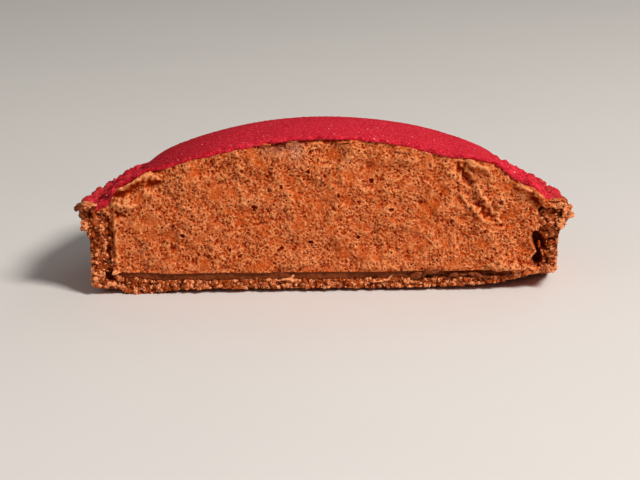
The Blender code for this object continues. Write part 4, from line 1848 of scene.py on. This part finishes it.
    def strew(self, heap: Heap, bed: Bed) -> None:
        """Strew a bed's crumbs, save those that would lie in a hollow of the broken face.

        Args:
            heap: The heap that gets them.
            bed: Their bed.
        """
        draw = heap.draw
        count = bed.count
        surface = self.plate if bed.part is Part.PLATE else self.wall
        u = draw.uniform(*bed.around, count)
        v = draw.uniform(*bed.up, count)
        t = draw.uniform(*bed.across, count) if bed.across else np.full(count, self.outermost)
        places = surface(u, v, t)
        sizes = draw.uniform(*bed.sizes, count) * draw.uniform(0.7, 1.0, count)
        on_cut = SHAPE.near(places[:, 1], self.broken_reach)
        sunk = draw.uniform(*self.crumb_sunk, count) * sizes
        places[:, 1] += on_cut * (sunk - self.face.height(places[:, 0], places[:, 2]))
        places[:, 0] += self.trim(places)
        sheltered = self.face.read(self.face.ground, places[:, 0], places[:, 2]) < self.sheltered
        tints = draw.uniform(0.0, 1.0, count) ** 1.2
        shown = ~(sheltered & (on_cut > 0.9))
        self.pile(heap, places[shown], sizes[shown], tints[shown])

    def heap_up(self, heap: Heap, clump: Clump) -> None:
        """Heap up a clump's crumbs.

        Args:
            heap: The heap that gets them.
            clump: Their clump.
        """
        draw = heap.draw
        offset = np.clip(draw.normal(0.0, 1.0, (clump.count, 2)), -self.clump_reach, self.clump_reach)
        offset = self.clump_width * offset * clump.spreads
        places = np.insert(clump.centre + offset, 1, SHAPE.cut, axis=1)
        places[:, 1] -= draw.uniform(*self.clump_behind, clump.count)
        darkest = self.darkest_left if clump.centre[0] < 0.0 else self.darkest_right
        sizes = draw.uniform(*clump.sizes, clump.count)
        self.pile(heap, places, sizes, draw.uniform(darkest, 1.0, clump.count))

    def pile(self, heap: Heap, places: Array, sizes: Array, tints: Array) -> None:
        """Add crumbs to a heap, none lower than the worn underside.

        Args:
            heap: The heap that gets them.
            places: Centre of each, one row each.
            sizes: Size of each.
            tints: Shade of each, from 0 to 1.
        """
        radii = sizes[:, None] * heap.draw.uniform(*self.crumb_lengths, (len(sizes), 3))
        places[:, 2] = np.maximum(places[:, 2], SHAPE.floor(places[:, 0], places[:, 1]) + 0.9 * sizes)
        heap.add(places, radii, self.crumb_crag, tints, sprays=self.spray(places))


@dataclass(frozen=True)
class Lamp:
    """Square soft light that faces the tart: place and side in metres, power in watts."""

    name: str
    place: Triple
    side: float
    power: float
    colour: Colour


@dataclass
class Studio:
    """Floor, lights and the camera at the photograph's angle: the eye is placed in millimetres."""

    eye: Triple = (0.0, -328.58, 99.82)
    tilt: float = math.radians(16.72)
    roll: float = math.radians(-0.65)
    lens: float = 100.0
    centre: Pair = (324.3, 274.8)
    image: tuple[int, int] = (640, 480)
    aim: Triple = (0.0, 0.0, 0.015)
    lamps: tuple[Lamp, ...] = (
        Lamp("key", (0.5, -0.42, 0.62), 0.24, 8.7, (1.0, 0.97, 0.93)),
        Lamp("fill", (-0.6, -0.5, 0.4), 0.5, 0.4, (1.0, 0.98, 0.96)),
        Lamp("back", (0.45, 0.6, 0.6), 0.5, 0.6, (1.0, 1.0, 1.0)),
    )
    sky: Colour = (1.0, 0.98, 0.96)
    sky_strength: float = 0.16
    floor_size: float = 6.0
    floor_dark: Colour = (0.74, 0.71, 0.68)
    floor_pale: Colour = (0.78, 0.75, 0.72)

    def camera(self) -> None:
        """Place the camera."""
        forward = Vector((0.0, math.cos(self.tilt), -math.sin(self.tilt)))
        right = Vector((1.0, 0.0, 0.0))
        up = right.cross(forward)
        c = math.cos(self.roll)
        s = math.sin(self.roll)
        axes = (right * c + up * s, up * c - right * s, -forward)
        data = bpy.data.cameras.new("camera")
        data.lens = self.lens
        data.shift_x = (0.5 * self.image[0] - self.centre[0]) / self.image[0]
        data.shift_y = (self.centre[1] - 0.5 * self.image[1]) / self.image[0]
        data.clip_start = 0.01
        item = bpy.data.objects.new("camera", data)
        item.matrix_world = Matrix.Translation(Vector(self.eye) * MM) @ Matrix(axes).transposed().to_4x4()
        bpy.context.scene.collection.objects.link(item)
        bpy.context.scene.camera = item

    def hang(self, lamp: Lamp) -> None:
        """Hang a lamp.

        Args:
            lamp: The lamp.
        """
        data = bpy.data.lights.new(lamp.name, "AREA")
        data.size = lamp.side
        data.energy = lamp.power
        data.color = lamp.colour
        item = bpy.data.objects.new(lamp.name, data)
        item.location = lamp.place
        item.rotation_euler = (Vector(self.aim) - Vector(lamp.place)).to_track_quat("-Z", "Y").to_euler()
        bpy.context.scene.collection.objects.link(item)

    def surroundings(self) -> None:
        """Light the world evenly."""
        world = bpy.data.worlds.new("studio")
        world.use_nodes = True
        background = world.node_tree.nodes["Background"]
        background.inputs["Color"].default_value = (*self.sky, 1.0)
        background.inputs["Strength"].default_value = self.sky_strength
        bpy.context.scene.world = world
        bpy.context.scene.view_settings.view_transform = "Standard"

    def floor(self) -> None:
        """Lay the plain floor."""
        half = 0.5 * self.floor_size
        mesh = bpy.data.meshes.new("floor")
        mesh.from_pydata([(-half, -half, 0.0), (half, -half, 0.0), (half, half, 0.0), (-half, half, 0.0)],
                         [], [(0, 1, 2, 3)])
        floor = bpy.data.objects.new("floor", mesh)
        bpy.context.scene.collection.objects.link(floor)
        finish = Finish("floor")
        tone = finish.coats(self.floor_dark, (finish.noise(60.0), self.floor_pale))
        mesh.materials.append(finish.surface(tone, 0.8))

    def build(self) -> None:
        """Make the studio."""
        self.camera()
        for lamp in self.lamps:
            self.hang(lamp)
        self.surroundings()
        self.floor()


def main() -> None:
    """Build the studio and every layer."""
    logging.basicConfig(level=logging.INFO, format="%(message)s")
    Studio().build()
    Pastry().build()
    Ganache().build()
    Mousse().build()
    Velvet().build()
    Bits("mousse_filling", Slot.MOUSSE, "mousse_bits", MOUSSE_BITS).build()
    Bits("ganache_layer", Slot.GANACHE, "ganache_bits", GANACHE_BITS).build()
    Bits("pastry_shell", Slot.PASTRY, "pastry_flakes", PASTRY_BITS, 1.0).build()


if __name__ == "__main__":
    main()
